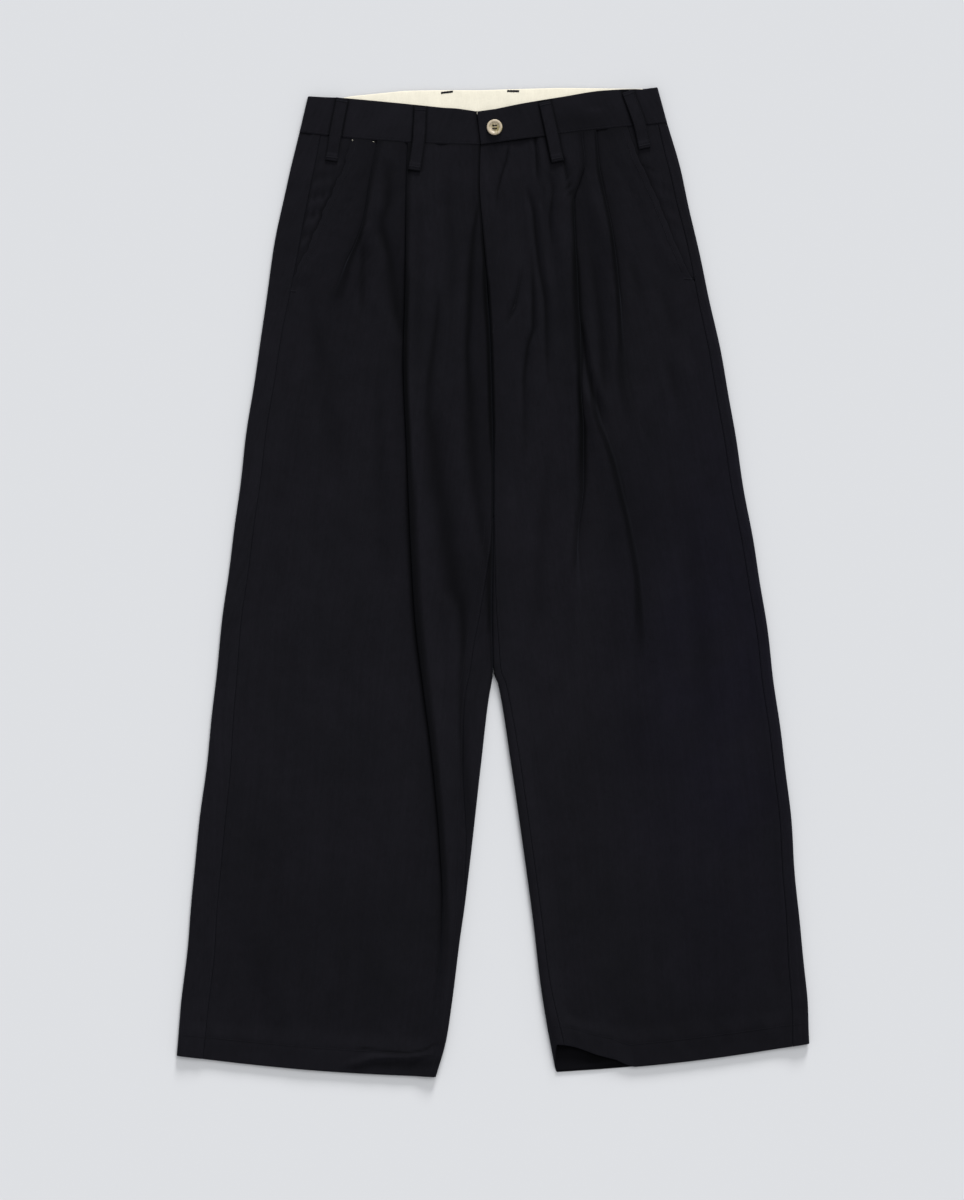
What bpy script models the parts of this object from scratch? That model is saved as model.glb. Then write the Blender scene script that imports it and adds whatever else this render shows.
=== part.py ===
"""Pleated wide-leg trousers, laid out flat on their back with the front up.

The part stands in metres with +Z up and the hems towards -Y. Its origin is the
middle of the bounding box, on the surface that the trousers lie on. Right and
left are the wearer's, so the right leg is on the -X side.

Every cloth piece is a wall of even thickness along a path. At each row down a
leg, the path is a closed ring seen end on: from the side seam over the front,
round the roll at the inner edge, back along the floor and up round the roll at
the outer edge. The front takes the first part of that ring and the back takes
the rest. A pleat is a true fold in the ring: the cloth turns back over itself,
runs, and turns forward again.

Sizes are in millimetres up to the mesh, which is in metres.
"""

from collections import namedtuple
from types import SimpleNamespace
import math

import bmesh
import bpy
import numpy as np

for old_object in list(bpy.data.objects):
    bpy.data.objects.remove(old_object, do_unlink=True)

MM = 0.001

# Walls and the gaps between them
CLOTH = 1.0
GAP = 0.3
PITCH = CLOTH + GAP
BAND_WALL = 2.0
LOOP_WALL = 1.2
BACK_LOOP_WALL = 1.0

# Lengths of the garment
HEM_DEPTH = 24.0
HEM_TURN = 1.0
LEG_LENGTH = 1040.0
SIDE_BEAD = 36.0
INNER_BEAD = 26.0
FLY_LAP = 9.0
POCKET_TUCK = 12.0
MOUTH_FADE = 8.0
UNDERLAP = 38.0
UNDERLAP_TAPER = 0.08
LAP_SLOPE = 30.0
CENTRE_X = -14.6
LOOP_WIDTH = 14.0

# Rows down a leg, as shares of its length from the waist seam to the hem
HEM_SHARE = 1.0 - HEM_DEPTH / LEG_LENGTH
MOUTH_END = 0.168
FACING_END = MOUTH_END - MOUTH_FADE / LEG_LENGTH
ROWS = np.array([0.0, 0.014, 0.03, 0.048, 0.068, 0.09, 0.118, 0.14, FACING_END, MOUTH_END,
                 0.2, 0.235, 0.272, 0.315, 0.355, 0.378, 0.4, 0.45, 0.5, 0.545, 0.568, 0.6, 0.64,
                 0.7, 0.75, 0.785, 0.815, 0.85, 0.9, 0.945, HEM_SHARE - 0.001, HEM_SHARE, 1.0])

# One row of this table describes a leg at one share of its length:
# outer_x and inner_x are its two edges, side_seam is how far the side seam lies
# in from the outer edge, inseam is how far the inseam lies from the inner edge
# (measured along the cloth, and below zero where it has rolled under), loft is
# how high the front stands off the back, bow lifts the middle of the row, and
# back_rise is how much higher the back's row is at the centre than the front's.
Section = namedtuple("Section", "share outer_x inner_x side_seam inseam loft bow back_rise")

RIGHT_SECTIONS = (
    Section(0.000, -217.5, -13.8, 24.0, 0.0, 2.3, -3.2, 21.0),
    Section(0.040, -227.5, -14.8, 26.0, 0.0, 2.9, -2.0, 20.0),
    Section(0.080, -236.5, -12.2, 27.0, 0.0, 3.2, -1.0, 18.0),
    Section(0.120, -244.8, -8.6, 28.0, 0.0, 3.4, -0.5, 16.0),
    Section(0.170, -253.8, -5.2, 25.5, 0.0, 3.4, 0.0, 13.0),
    Section(0.220, -260.5, -2.6, 22.5, 0.0, 3.2, 0.0, 9.0),
    Section(0.280, -269.4, -0.9, 22.0, 0.0, 3.0, 0.0, 4.0),
    Section(0.340, -278.2, 0.4, 22.0, 0.0, 2.8, 0.0, 0.0),
    Section(0.420, -289.6, 0.0, 21.5, 3.0, 2.4, 0.0, 0.0),
    Section(0.500, -300.2, -1.4, 21.5, 14.0, 2.0, 0.0, 0.0),
    Section(0.545, -305.2, -0.6, 21.8, 23.5, 1.7, 0.0, 0.0),
    Section(0.568, -308.0, -0.1, 22.2, 27.0, 1.6, 0.0, 0.0),
    Section(0.576, -309.0, -1.2, 22.4, 27.6, 1.5, 0.0, 0.0),
    Section(0.584, -310.0, -3.0, 22.6, 28.0, 1.5, 0.0, 0.0),
    Section(0.660, -319.3, -12.8, 25.5, 22.0, 1.2, 0.0, 0.0),
    Section(0.750, -329.5, -23.3, 29.0, 8.0, 1.0, 0.0, 0.0),
    Section(0.785, -333.5, -27.6, 29.2, 4.8, 0.9, 0.0, 0.0),
    Section(0.815, -336.5, -31.4, 29.3, 2.0, 0.9, 0.0, 0.0),
    Section(0.850, -340.0, -36.6, 29.5, 0.0, 0.8, 0.0, 0.0),
    Section(0.920, -348.0, -45.8, 31.0, 0.0, 0.6, -1.0, 0.0),
    Section(0.960, -351.6, -52.2, 30.4, 0.0, 0.5, -2.4, 0.0),
    Section(1.000, -355.2, -64.0, 29.5, 0.0, 0.4, -4.0, 0.0),
)
LEFT_SECTIONS = (
    Section(0.000, 195.6, -13.8, 10.5, 0.0, 2.3, 1.5, 21.0),
    Section(0.040, 207.6, -14.8, 13.0, 0.0, 3.0, 1.0, 20.0),
    Section(0.080, 217.4, -12.2, 12.5, 0.0, 3.2, 0.6, 18.0),
    Section(0.120, 227.1, -8.6, 11.5, 0.0, 3.4, 0.3, 16.0),
    Section(0.170, 238.8, -5.2, 12.0, 0.0, 3.4, 0.0, 13.0),
    Section(0.220, 249.2, -2.6, 12.8, 0.0, 3.2, 0.0, 9.0),
    Section(0.280, 261.3, -0.9, 13.5, 0.0, 3.0, 0.0, 4.0),
    Section(0.340, 272.5, 0.4, 13.5, 0.0, 2.8, 0.0, 0.0),
    Section(0.420, 286.2, 0.0, 13.2, 3.0, 2.4, 0.0, 0.0),
    Section(0.500, 299.5, -1.4, 12.8, 6.5, 2.0, 0.0, 0.0),
    Section(0.545, 307.0, -0.6, 12.7, 8.9, 1.7, 0.0, 0.0),
    Section(0.568, 310.6, 0.3, 12.6, 9.7, 1.6, 0.0, 0.0),
    Section(0.576, 311.8, 4.0, 12.6, 9.9, 1.5, 0.0, 0.0),
    Section(0.584, 312.9, 6.2, 12.6, 10.0, 1.5, 0.0, 0.0),
    Section(0.660, 323.0, 19.0, 12.8, 11.5, 1.2, 0.0, 0.0),
    Section(0.750, 333.5, 32.6, 13.2, 11.5, 1.0, 0.0, 0.0),
    Section(0.840, 341.9, 45.3, 14.0, 11.0, 0.8, 0.0, 0.0),
    Section(0.920, 349.9, 54.8, 17.5, 12.0, 0.6, -1.2, 0.0),
    Section(0.960, 352.9, 60.9, 18.3, 12.0, 0.5, -2.8, 0.0),
    Section(1.000, 355.2, 68.6, 19.0, 12.0, 0.4, -4.6, 0.0),
)

# Where the rows start and end, up the garment
Ends = namedtuple("Ends", "outer_top outer_hem inner_top inner_hem")
RIGHT_ENDS = Ends(504.3, -531.7, 490.3, -555.6)
LEFT_ENDS = Ends(515.1, -518.2, 490.3, -550.8)

# The radius of the roll at both edges, and how far the front's inner edge turns
# down into the crevice at the centre, down the leg
Roll = namedtuple("Roll", "share radius turn_down")
ROLLS = (
    Roll(0.00, 1.8, 0.0),
    Roll(0.05, 2.1, 0.0),
    Roll(0.118, 2.6, 5.0),
    Roll(0.16, 2.8, 50.0),
    Roll(0.20, 3.0, 84.0),
    Roll(1.00, 3.0, 84.0),
)
LAP_HOLD = 0.085
LAP_END = 0.118
LAP_FADE = 0.03
CROTCH_SHARE = 0.355
CLOSED_SHARE = 0.400
LEAST_BEND = 0.02

# A fold that has opened out keeps this small turn and this length of arc
LEAST_TURN = 1.0
LEAST_ARC = 2.0
# A fold's upper layer stays level this far past the fold, and falls over at least this
FOLD_LEVEL = 0.6
LEAST_SETTLE = 2.0

# A fold's row: its place (y up, x), the angle it turns back by (180 is a flat
# pleat), the length it runs back, the radius of its two turns, and how far the
# upper layer takes to come down again
Fold = namedtuple("Fold", "y x turn run radius settle")

RIGHT_FOLDS = (
    (
        Fold(497, -128.0, 180, 20.0, 0.65, 12),
        Fold(454, -136.5, 180, 15.0, 0.65, 16),
        Fold(406, -143.5, 166, 5.5, 0.9, 22),
        Fold(380, -150.5, 132, 2.0, 1.15, 26),
        Fold(336, -168.5, 78, 2.4, 1.6, 30),
        Fold(312, -179.0, 40, 3.0, 2.2, 30),
        Fold(272, -187.5, 12, 4.0, 3.0, 30),
        Fold(182, -197.0, 0, 4.0, 3.0, 30),
        Fold(-545, -228.0, 0, 4.0, 3.0, 30),
    ),
    (
        Fold(495, -94.5, 180, 20.0, 0.65, 14),
        Fold(457, -96.0, 180, 18.0, 0.65, 16),
        Fold(396, -96.5, 176, 13.0, 0.75, 20),
        Fold(330, -96.8, 163, 6.0, 0.95, 24),
        Fold(250, -98.8, 142, 2.0, 1.15, 26),
        Fold(147, -95.5, 125, 1.2, 1.25, 28),
        Fold(40, -91.0, 115, 1.0, 1.25, 28),
        Fold(-115, -76.5, 108, 1.0, 1.3, 26),
        Fold(-190, -67.5, 105, 1.0, 1.2, 24),
        Fold(-300, -57.8, 100, 1.0, 1.1, 16),
        Fold(-357, -55.0, 98, 1.0, 1.0, 12),
        Fold(-414, -56.5, 88, 1.0, 0.9, 9),
        Fold(-470, -63.0, 55, 1.5, 1.2, 9),
        Fold(-504, -70.5, 22, 2.0, 1.6, 9),
        Fold(-525, -75.0, 4, 2.0, 2.0, 9),
        Fold(-556, -80.0, 0, 2.0, 2.0, 9),
    ),
)
LEFT_FOLDS = (
    (
        Fold(506, 114.5, 180, 12.0, 0.65, 12),
        Fold(465, 118.5, 180, 11.0, 0.65, 14),
        Fold(433, 125.0, 175, 9.0, 0.75, 20),
        Fold(398, 133.0, 160, 5.0, 0.95, 24),
        Fold(357, 138.8, 138, 2.4, 1.05, 26),
        Fold(317, 141.8, 108, 1.6, 1.3, 28),
        Fold(276, 143.8, 78, 1.8, 1.5, 30),
        Fold(234, 146.0, 42, 3.0, 2.2, 30),
        Fold(182, 158.0, 10, 4.0, 3.0, 30),
        Fold(120, 182.0, 0, 4.0, 3.0, 30),
        Fold(-40, 214.0, 0, 4.0, 3.0, 30),
        Fold(-542, 248.0, 0, 4.0, 3.0, 30),
    ),
    (
        Fold(500, 106.0, 0, 3.0, 2.0, 8),
        Fold(300, 112.0, 0, 4.0, 2.0, 12),
        Fold(235, 112.5, 10, 4.0, 2.0, 14),
        Fold(201, 117.0, 50, 2.5, 1.8, 18),
        Fold(168, 125.0, 66, 2.2, 1.7, 22),
        Fold(136, 136.0, 68, 2.0, 1.8, 24),
        Fold(56, 153.0, 58, 2.2, 1.8, 26),
        Fold(-6, 164.0, 36, 2.5, 2.0, 26),
        Fold(-58, 167.5, 10, 4.0, 3.0, 26),
        Fold(-120, 169.0, 0, 4.0, 3.0, 26),
        Fold(-542, 195.0, 0, 4.0, 3.0, 26),
    ),
    (
        Fold(500, 99.5, 180, 16.0, 0.65, 14),
        Fold(471, 102.0, 180, 15.5, 0.65, 14),
        Fold(450, 97.0, 180, 14.0, 0.65, 18),
        Fold(427, 90.0, 177, 13.0, 0.7, 20),
        Fold(385, 91.5, 171, 10.0, 0.85, 22),
        Fold(344, 94.5, 160, 5.0, 0.95, 24),
        Fold(276, 98.0, 142, 1.8, 1.15, 26),
        Fold(222, 98.2, 132, 1.6, 1.15, 28),
        Fold(142, 100.5, 118, 1.3, 1.25, 28),
        Fold(56, 93.5, 88, 1.5, 1.3, 28),
        Fold(18, 92.2, 50, 3.0, 1.8, 30),
        Fold(-43, 92.0, 10, 4.0, 3.0, 30),
        Fold(-110, 93.0, 0, 4.0, 3.0, 30),
        Fold(-546, 120.0, 0, 4.0, 3.0, 30),
    ),
)

# The slanted pocket mouths: y up, x
Mouth = namedtuple("Mouth", "y x")
RIGHT_MOUTH = (Mouth(511, -153.5), Mouth(497, -158.5), Mouth(465, -168.0), Mouth(430, -184.0),
               Mouth(384, -203.5), Mouth(344, -223.0), Mouth(320, -234.0))
LEFT_MOUTH = (Mouth(520, 147.5), Mouth(511, 150.5), Mouth(481, 160.5), Mouth(452, 174.0),
              Mouth(422, 187.5), Mouth(387, 201.5), Mouth(352, 217.0), Mouth(320, 234.0))

# The band: its corners at the seam and at the top edge, with the bow of each line
Band = namedtuple("Band", "outer_x outer_y front_x front_y front_bow back_x back_y back_bow")
RIGHT_BAND = (Band(-217.5, 504.3, -13.8, 490.3, -3.2, -14.6, 511.3, -3.2),
              Band(-207.9, 545.1, -18.3, 527.9, 1.0, -14.6, 552.4, 2.6))
LEFT_BAND = (Band(195.6, 515.1, -13.8, 490.3, 1.5, -14.6, 511.3, 1.5),
             Band(184.6, 555.4, -18.3, 527.3, 3.6, -14.6, 552.4, 1.2))

# How the top edges sway off those lines: the distance from the outer edge, and the height
Sway = namedtuple("Sway", "s rise")
SWAYS = {
    ("right", "front"): (Sway(0, 0.0), Sway(18, 0.3), Sway(37, 1.0), Sway(60, 0.8), Sway(120, 0.4),
                         Sway(150, 0.3), Sway(167, 1.0), Sway(180, 0.6), Sway(190, 0.0)),
    ("right", "back"): (Sway(0, 0.0), Sway(18, -3.0), Sway(37, -4.4), Sway(48, -3.2), Sway(68, -2.3),
                        Sway(88, -1.3), Sway(108, 0.0)),
    ("left", "front"): (Sway(0, 0.0), Sway(8, -1.0), Sway(14, -1.4), Sway(25, -0.2), Sway(44, 1.0),
                        Sway(68, 1.7), Sway(109, 0.2), Sway(140, 0.0), Sway(169, -0.6),
                        Sway(180, -0.9), Sway(190, -1.3), Sway(203, -0.2)),
    ("left", "back"): (Sway(0, 0.0), Sway(8, -0.6), Sway(14, -1.5), Sway(35, -1.4), Sway(68, -0.9),
                       Sway(109, 0.0)),
}

# The cream facing inside the back of the band
FACING_LEFT_X = 168.0
FACING_RIGHT_X = -172.0
FACING_DEPTH = 33.0
FACING_EDGE = 0.5

# The front belt loops: where the middle of each crosses the top edge and the seam,
# and where it ends
Loop = namedtuple("Loop", "name side top_x top_y seam_x seam_y end_x end_y")
FRONT_LOOPS = (
    Loop("belt_loop_right_side", "right", -168.9, 542.4, -177.6, 496.8, -181.4, 472.0),
    Loop("belt_loop_right_front", "right", -81.6, 532.9, -83.2, 499.0, -88.4, 461.2),
    Loop("belt_loop_left_front", "left", 57.9, 538.6, 64.4, 510.0, 72.5, 471.0),
    Loop("belt_loop_left_side", "left", 151.1, 550.4, 165.2, 510.3, 170.3, 486.0),
)
LOOP_MARGIN = 0.5
SEAM_ABOVE = 3.0
SEAM_BELOW = 4.0
BACK_LOOPS = {"belt_loop_back_right": -51.7, "belt_loop_back_left": 22.5}
BACK_LOOP_TOP = 551.5
BACK_LOOP_END = 482.0
LOOP_STATIONS = 9
LOOP_PROBES = 7
LOOP_CLEARANCE = 0.5

# How much the garment is lifted by the belt loops under the back of the waist
LOOP_LIFT = BACK_LOOP_WALL + GAP
LIFT_HOLD = 0.035
LIFT_END = 0.110

# The left front's hem is pulled up at its inner corner
HEM_PULL = 31.0
HEM_PULL_HOLD = 12.0
HEM_PULL_WIDTH = 90.0
HEM_PULL_START = 0.88
HEM_PULL_RISE = 3.0

# The button
BUTTON_X = 1.7
BUTTON_Y = 509.5
BUTTON_RADIUS = 8.9
BUTTON_HEIGHT = 3.2
BUTTON_HOLE_RADIUS = 0.95
BUTTON_HOLE_OFFSET = 1.75
BUTTON_SIDES = 32
# From its underside over the rim to its dished middle: how far in from the rim, height
BUTTON_PROFILE = ((1.6, 0.0), (0.4, 0.7), (0.0, 1.5), (0.3, BUTTON_HEIGHT - 0.5),
                  (1.2, BUTTON_HEIGHT), (2.4, BUTTON_HEIGHT - 0.1), (3.6, BUTTON_HEIGHT - 0.9))
HOLE_SIDES = 10

# By the waist seam the front dips by one layer under each pleat, so that the band
# lies level over it: how far down the leg, and how far round the pleat
DIP_END = 0.07
DIP_BEFORE = 10.0
DIP_AFTER = 2.0
DIP_SLOPE = 8.0

# The layers inside the fly raise the front beside its edge, and the two edges lap
FLY_RISE = 1.2
FLY_WIDTH = 46.0
FLY_SLOPE = 18.0
FLY_HOLD = 0.10
FLY_FADE = 0.08
LEVEL_WIDTH = 18.0
LEVEL_SLOPE = 10.0

# The front comes down off the tucked edge of the pocket facing
TUCK_LEVEL = 3.0
TUCK_SLOPE = 12.0

# The front's hem rises on the doubled hem of the back over this share
HEM_STEP = 0.02

# How closely places are worked out
PLACE_STEPS = 4
SHARE_STEPS = 6
SLOPE_STEP = 0.2

# Steps along each stretch of a path: plain cloth on the pocket facing, beside it,
# up to a fold, over it and down from it, the turns and the run of a fold, the
# rolls at the edges, the floor and the cloth outside the side seam
PARTS = SimpleNamespace(tuck=1, beside=1, plain=2, shelf=1, down=2, turn=3, run=1,
                        roll=4, seam=2, floor=3, outside=2, facing=4)
BAND_PARTS = SimpleNamespace(back=6, front=5, slope=4, lap=2, facing=6)
TUCK_ROOM = 0.3
BESIDE_ROOM = 0.6
SHELF_ROOM = 0.4
DOWN_ROOM = 0.75
ROLL_LEAD = 3.0
SEAM_LEAD = 1.5


def ease(x):
    """Smooth step: 0 below 0, 1 above 1, level at both ends."""
    x = np.clip(x, 0.0, 1.0)
    return x * x * (3.0 - 2.0 * x)


def bell(x):
    """Half a cosine wave: 1 and level at 0, falling to 0 and level from 1 on."""
    return 0.5 + 0.5 * np.cos(np.pi * np.clip(x, 0.0, 1.0))


def through(stations, values, at):
    """Monotone cubic through the values at rising stations, held past both ends.

    Each inner slope is the weighted harmonic mean of its neighbours' slopes, or
    zero where they differ in sign, so that the curve never overshoots."""
    stations = np.asarray(stations, float)
    values = np.asarray(values, float)
    step = np.diff(stations)
    slope = np.diff(values) / step
    tangent = np.zeros(len(values))
    tangent[0], tangent[-1] = slope[0], slope[-1]
    same = slope[:-1] * slope[1:] > 0.0
    first = np.where(same, slope[:-1], 1.0)
    second = np.where(same, slope[1:], 1.0)
    near = 2.0 * step[1:] + step[:-1]
    far = step[1:] + 2.0 * step[:-1]
    tangent[1:-1] = np.where(same, (near + far) / (near / first + far / second), 0.0)
    at = np.clip(at, stations[0], stations[-1])
    k = np.clip(np.searchsorted(stations, at, side="right") - 1, 0, len(step) - 1)
    t = (at - stations[k]) / step[k]
    return (values[k] * (1.0 + 2.0 * t) * (1.0 - t) ** 2
            + values[k + 1] * t * t * (3.0 - 2.0 * t)
            + step[k] * tangent[k] * t * (1.0 - t) ** 2
            + step[k] * tangent[k + 1] * t * t * (t - 1.0))


def column(table, key, name, at):
    """Read one named column of a table at the given values of its key column."""
    rows = sorted(table, key=lambda line: getattr(line, key))
    stations = [getattr(line, key) for line in rows]
    values = [getattr(line, name) for line in rows]
    return through(stations, values, at)


LEGS = {
    "right": SimpleNamespace(sections=RIGHT_SECTIONS, ends=RIGHT_ENDS, folds=RIGHT_FOLDS,
                             mouth=RIGHT_MOUTH, band=RIGHT_BAND,
                             lap=FLY_LAP, level=-0.5 * PITCH, pull=0.0),
    "left": SimpleNamespace(sections=LEFT_SECTIONS, ends=LEFT_ENDS, folds=LEFT_FOLDS,
                            mouth=LEFT_MOUTH, band=LEFT_BAND,
                            lap=0.0, level=0.5 * PITCH, pull=HEM_PULL),
}


def leg_row(side, share):
    """Everything about a leg at the given shares of its length.

    A row is straight from the outer edge to the inner edge, and a place on it is
    its distance from the outer edge, called s."""
    leg = LEGS[side]
    row = SimpleNamespace(leg=leg, share=share)
    for name in ("outer_x", "inner_x", "side_seam", "inseam", "loft", "bow", "back_rise"):
        setattr(row, name, column(leg.sections, "share", name, share))
    row.outer_y = leg.ends.outer_top + (leg.ends.outer_hem - leg.ends.outer_top) * share
    inner_y = leg.ends.inner_top + (leg.ends.inner_hem - leg.ends.inner_top) * share
    way = np.sign(leg.sections[0].inner_x - leg.sections[0].outer_x)
    across = row.inner_x - way * 0.5 * GAP - row.outer_x
    row.width = np.hypot(across, inner_y - row.outer_y)
    row.along_x = across / row.width
    row.along_y = (inner_y - row.outer_y) / row.width
    row.radius = column(ROLLS, "share", "radius", share)
    row.turn_down = np.radians(column(ROLLS, "share", "turn_down", share))
    row.floor = LOOP_LIFT * (1.0 - ease((share - LIFT_HOLD) / (LIFT_END - LIFT_HOLD)))
    row.hem = ease((share - HEM_SHARE + HEM_STEP) / HEM_STEP)
    row.extra = np.where(share >= HEM_SHARE, HEM_TURN, 0.0)
    row.crest = row.floor + 0.5 * CLOTH + 2.0 * row.radius
    row.edge = row.radius + 0.5 * CLOTH
    row.inner = row.width - row.edge
    row.folds = [fold_shape(row, table) for table in leg.folds]
    row.seam = row.side_seam + 0.5 * GAP
    mouth = place_on(row, leg.mouth)
    row.start = np.where(share <= MOUTH_END, np.maximum(mouth, row.seam), row.seam)
    row.open = 1.0 - ease((share - FACING_END) / (MOUTH_END - FACING_END))
    return row


def height_on(row, s):
    """How far up the garment (y) the place s of a row lies."""
    share_across = np.clip(s / row.width, 0.0, 1.0)
    return row.outer_y + s * row.along_y + row.bow * np.sin(np.pi * share_across)


def place_on(row, table):
    """Where a line given as (y, x) crosses a row, as a distance from the outer edge."""
    s = 0.5 * row.width
    for _ in range(PLACE_STEPS):
        x = column(table, "y", "x", height_on(row, s))
        s = (x - row.outer_x) / row.along_x
    return s


def fold_shape(row, table):
    """Size of one fold at a row.

    edge is where the visible fold lies and root is where the lower layer turns.
    Turning by an angle, running and turning forward again raises the cloth by
    2 R (1 - cos) + run sin and moves it on by 2 R sin + run cos."""
    edge = place_on(row, table)
    y = height_on(row, edge)
    turn = np.radians(np.maximum(column(table, "y", "turn", y), LEAST_TURN))
    run = column(table, "y", "run", y)
    radius = np.maximum(column(table, "y", "radius", y), LEAST_ARC / turn)
    settle = column(table, "y", "settle", y)
    rise = 2.0 * radius * (1.0 - np.cos(turn)) + run * np.sin(turn)
    root = edge - 2.0 * radius * np.sin(turn) - run * np.cos(turn)
    fall = np.maximum(root, edge) + radius + FOLD_LEVEL
    last = np.maximum(row.inner - LEAST_SETTLE, fall + LEAST_SETTLE)
    settle = np.minimum(settle, last - fall)
    return SimpleNamespace(edge=edge, root=root, turn=turn, run=run, radius=radius,
                           rise=rise, fall=fall, settle=settle)


def ground(row, s):
    """Height of the front's middle surface without its folds.

    It rests on the back at the contact height, stands up by the loft between the
    edges, and swells into a soft bead where the cloth rolls over at each edge. By
    the waist seam it dips under each pleat, by one layer."""
    contact = row.floor + 1.5 * CLOTH + GAP + 2.0 * HEM_TURN * row.hem
    outer = bell((s - row.edge) / SIDE_BEAD)
    inner = bell((row.inner - s) / INNER_BEAD)
    between = (1.0 - outer) * (1.0 - inner)
    z = contact + row.loft * between + (row.crest - contact) * (outer + inner - outer * inner)
    deepest = 0.0 * s
    for fold in row.folds:
        flat = np.clip((fold.root - fold.edge) / DIP_BEFORE, 0.0, 1.0)
        before = ease((s - fold.edge + DIP_BEFORE) / DIP_SLOPE)
        after = ease((s - fold.root - DIP_AFTER) / DIP_SLOPE)
        deepest = np.maximum(deepest, flat * before * (1.0 - after))
    z = z - PITCH * (1.0 - ease(row.share / DIP_END)) * deepest
    fly = 1.0 - ease((row.share - FLY_HOLD) / FLY_FADE)
    lapped = 1.0 - ease((row.share - LAP_END) / LAP_FADE)
    by_fly = ease((s - row.width + FLY_WIDTH) / FLY_SLOPE)
    by_edge = ease((s - row.width + LEVEL_WIDTH) / LEVEL_SLOPE)
    return z + FLY_RISE * fly * by_fly + row.leg.level * lapped * by_edge


def pocket_rise(row, s):
    """The front stands one layer higher where it lies over the pocket facing."""
    past = s - row.start - POCKET_TUCK - TUCK_LEVEL
    return PITCH * row.open * bell(past / TUCK_SLOPE)


def layer(row, s, count):
    """Height of the front after the first count folds, at the places s."""
    z = ground(row, s) + pocket_rise(row, s)
    for fold in row.folds[:count]:
        z = z + fold.rise * bell((s - fold.fall) / fold.settle)
    return z


def slope_of(surface, s):
    """Slope of a height function at the places s, by a central difference."""
    return (surface(s + SLOPE_STEP) - surface(s - SLOPE_STEP)) / (2.0 * SLOPE_STEP)


def spread(start, end, parts, first=False):
    """Places from start to end in even parts, without the start unless asked."""
    shares = np.linspace(0.0, 1.0, parts + 1)
    if not first:
        shares = shares[1:]
    return start + (end - start) * shares


def on_top(row, s, count):
    """Path points on the front face: place, height and heading."""
    surface = lambda place: layer(row, place, count)
    return s, surface(s), np.arctan(slope_of(surface, s))


def fold_points(row, index):
    """Path points of one fold, from its lower layer to its upper layer.

    Three stretches follow each other: an arc that turns back, a straight run, and
    an arc that turns forward again, which is the first one seen upside down."""
    fold = row.folds[index]
    up = fold.turn * np.linspace(0.0, 1.0, PARTS.turn + 1)
    ran = np.linspace(0.0, 1.0, PARTS.run + 1)[1:]
    down = up[:, ::-1][:, 1:]
    angle = np.concatenate([up, fold.turn + 0.0 * ran, down], axis=1)
    turned_by = fold.radius * np.sin(fold.turn)
    turned_up = fold.radius * (1.0 - np.cos(fold.turn))
    ran_by = fold.run * np.cos(fold.turn)
    ran_up = fold.run * np.sin(fold.turn)
    across = np.concatenate([
        fold.radius * np.sin(up),
        turned_by + ran_by * ran,
        2.0 * turned_by + ran_by - fold.radius * np.sin(down)], axis=1)
    height = np.concatenate([
        fold.radius * (1.0 - np.cos(up)),
        turned_up + ran_up * ran,
        2.0 * turned_up + ran_up - fold.radius * (1.0 - np.cos(down))], axis=1)
    s = fold.root + across
    surface = lambda place: layer(row, place, index)
    return s, surface(s) + height, angle + np.arctan(slope_of(surface, s))


def front_end(row):
    """How far the front runs past the place where the inner roll starts.

    Below the crotch it runs to the inseam. Above it, it turns down into the
    crevice, or at the fly goes straight on as far as the edges lap."""
    quarter = 0.5 * np.pi * row.radius
    lap = row.leg.lap * (1.0 - ease((row.share - LAP_HOLD) / (LAP_END - LAP_HOLD)))
    flat = (1.0 - np.sin(row.turn_down)) * (row.edge + lap)
    above = row.radius * row.turn_down + flat
    below = quarter - 0.5 * GAP - row.inseam
    return np.where(row.share < CLOSED_SHARE, above, below)


def around_inner(row, a, count):
    """Path points at the distance a past the start of the inner roll.

    Before it, the path is on the front face. Then it is an arc, as far as the
    roll turns, and then straight in the direction that the arc ends in."""
    most = np.where(row.share < CLOSED_SHARE, row.turn_down, np.pi)
    surface = lambda place: layer(row, place, count)
    before = np.minimum(a, 0.0)
    on_arc = np.clip(a, 0.0, row.radius * most)
    angle = on_arc / row.radius
    past = np.maximum(a - on_arc, 0.0)
    s = row.inner + before + row.radius * np.sin(angle) + past * np.cos(angle)
    fallen = row.radius * (1.0 - np.cos(angle)) + past * np.sin(angle)
    z = surface(row.inner + before) - fallen
    heading = np.where(a < 0.0, np.arctan(slope_of(surface, row.inner + before)), -angle)
    return s, z, heading


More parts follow.
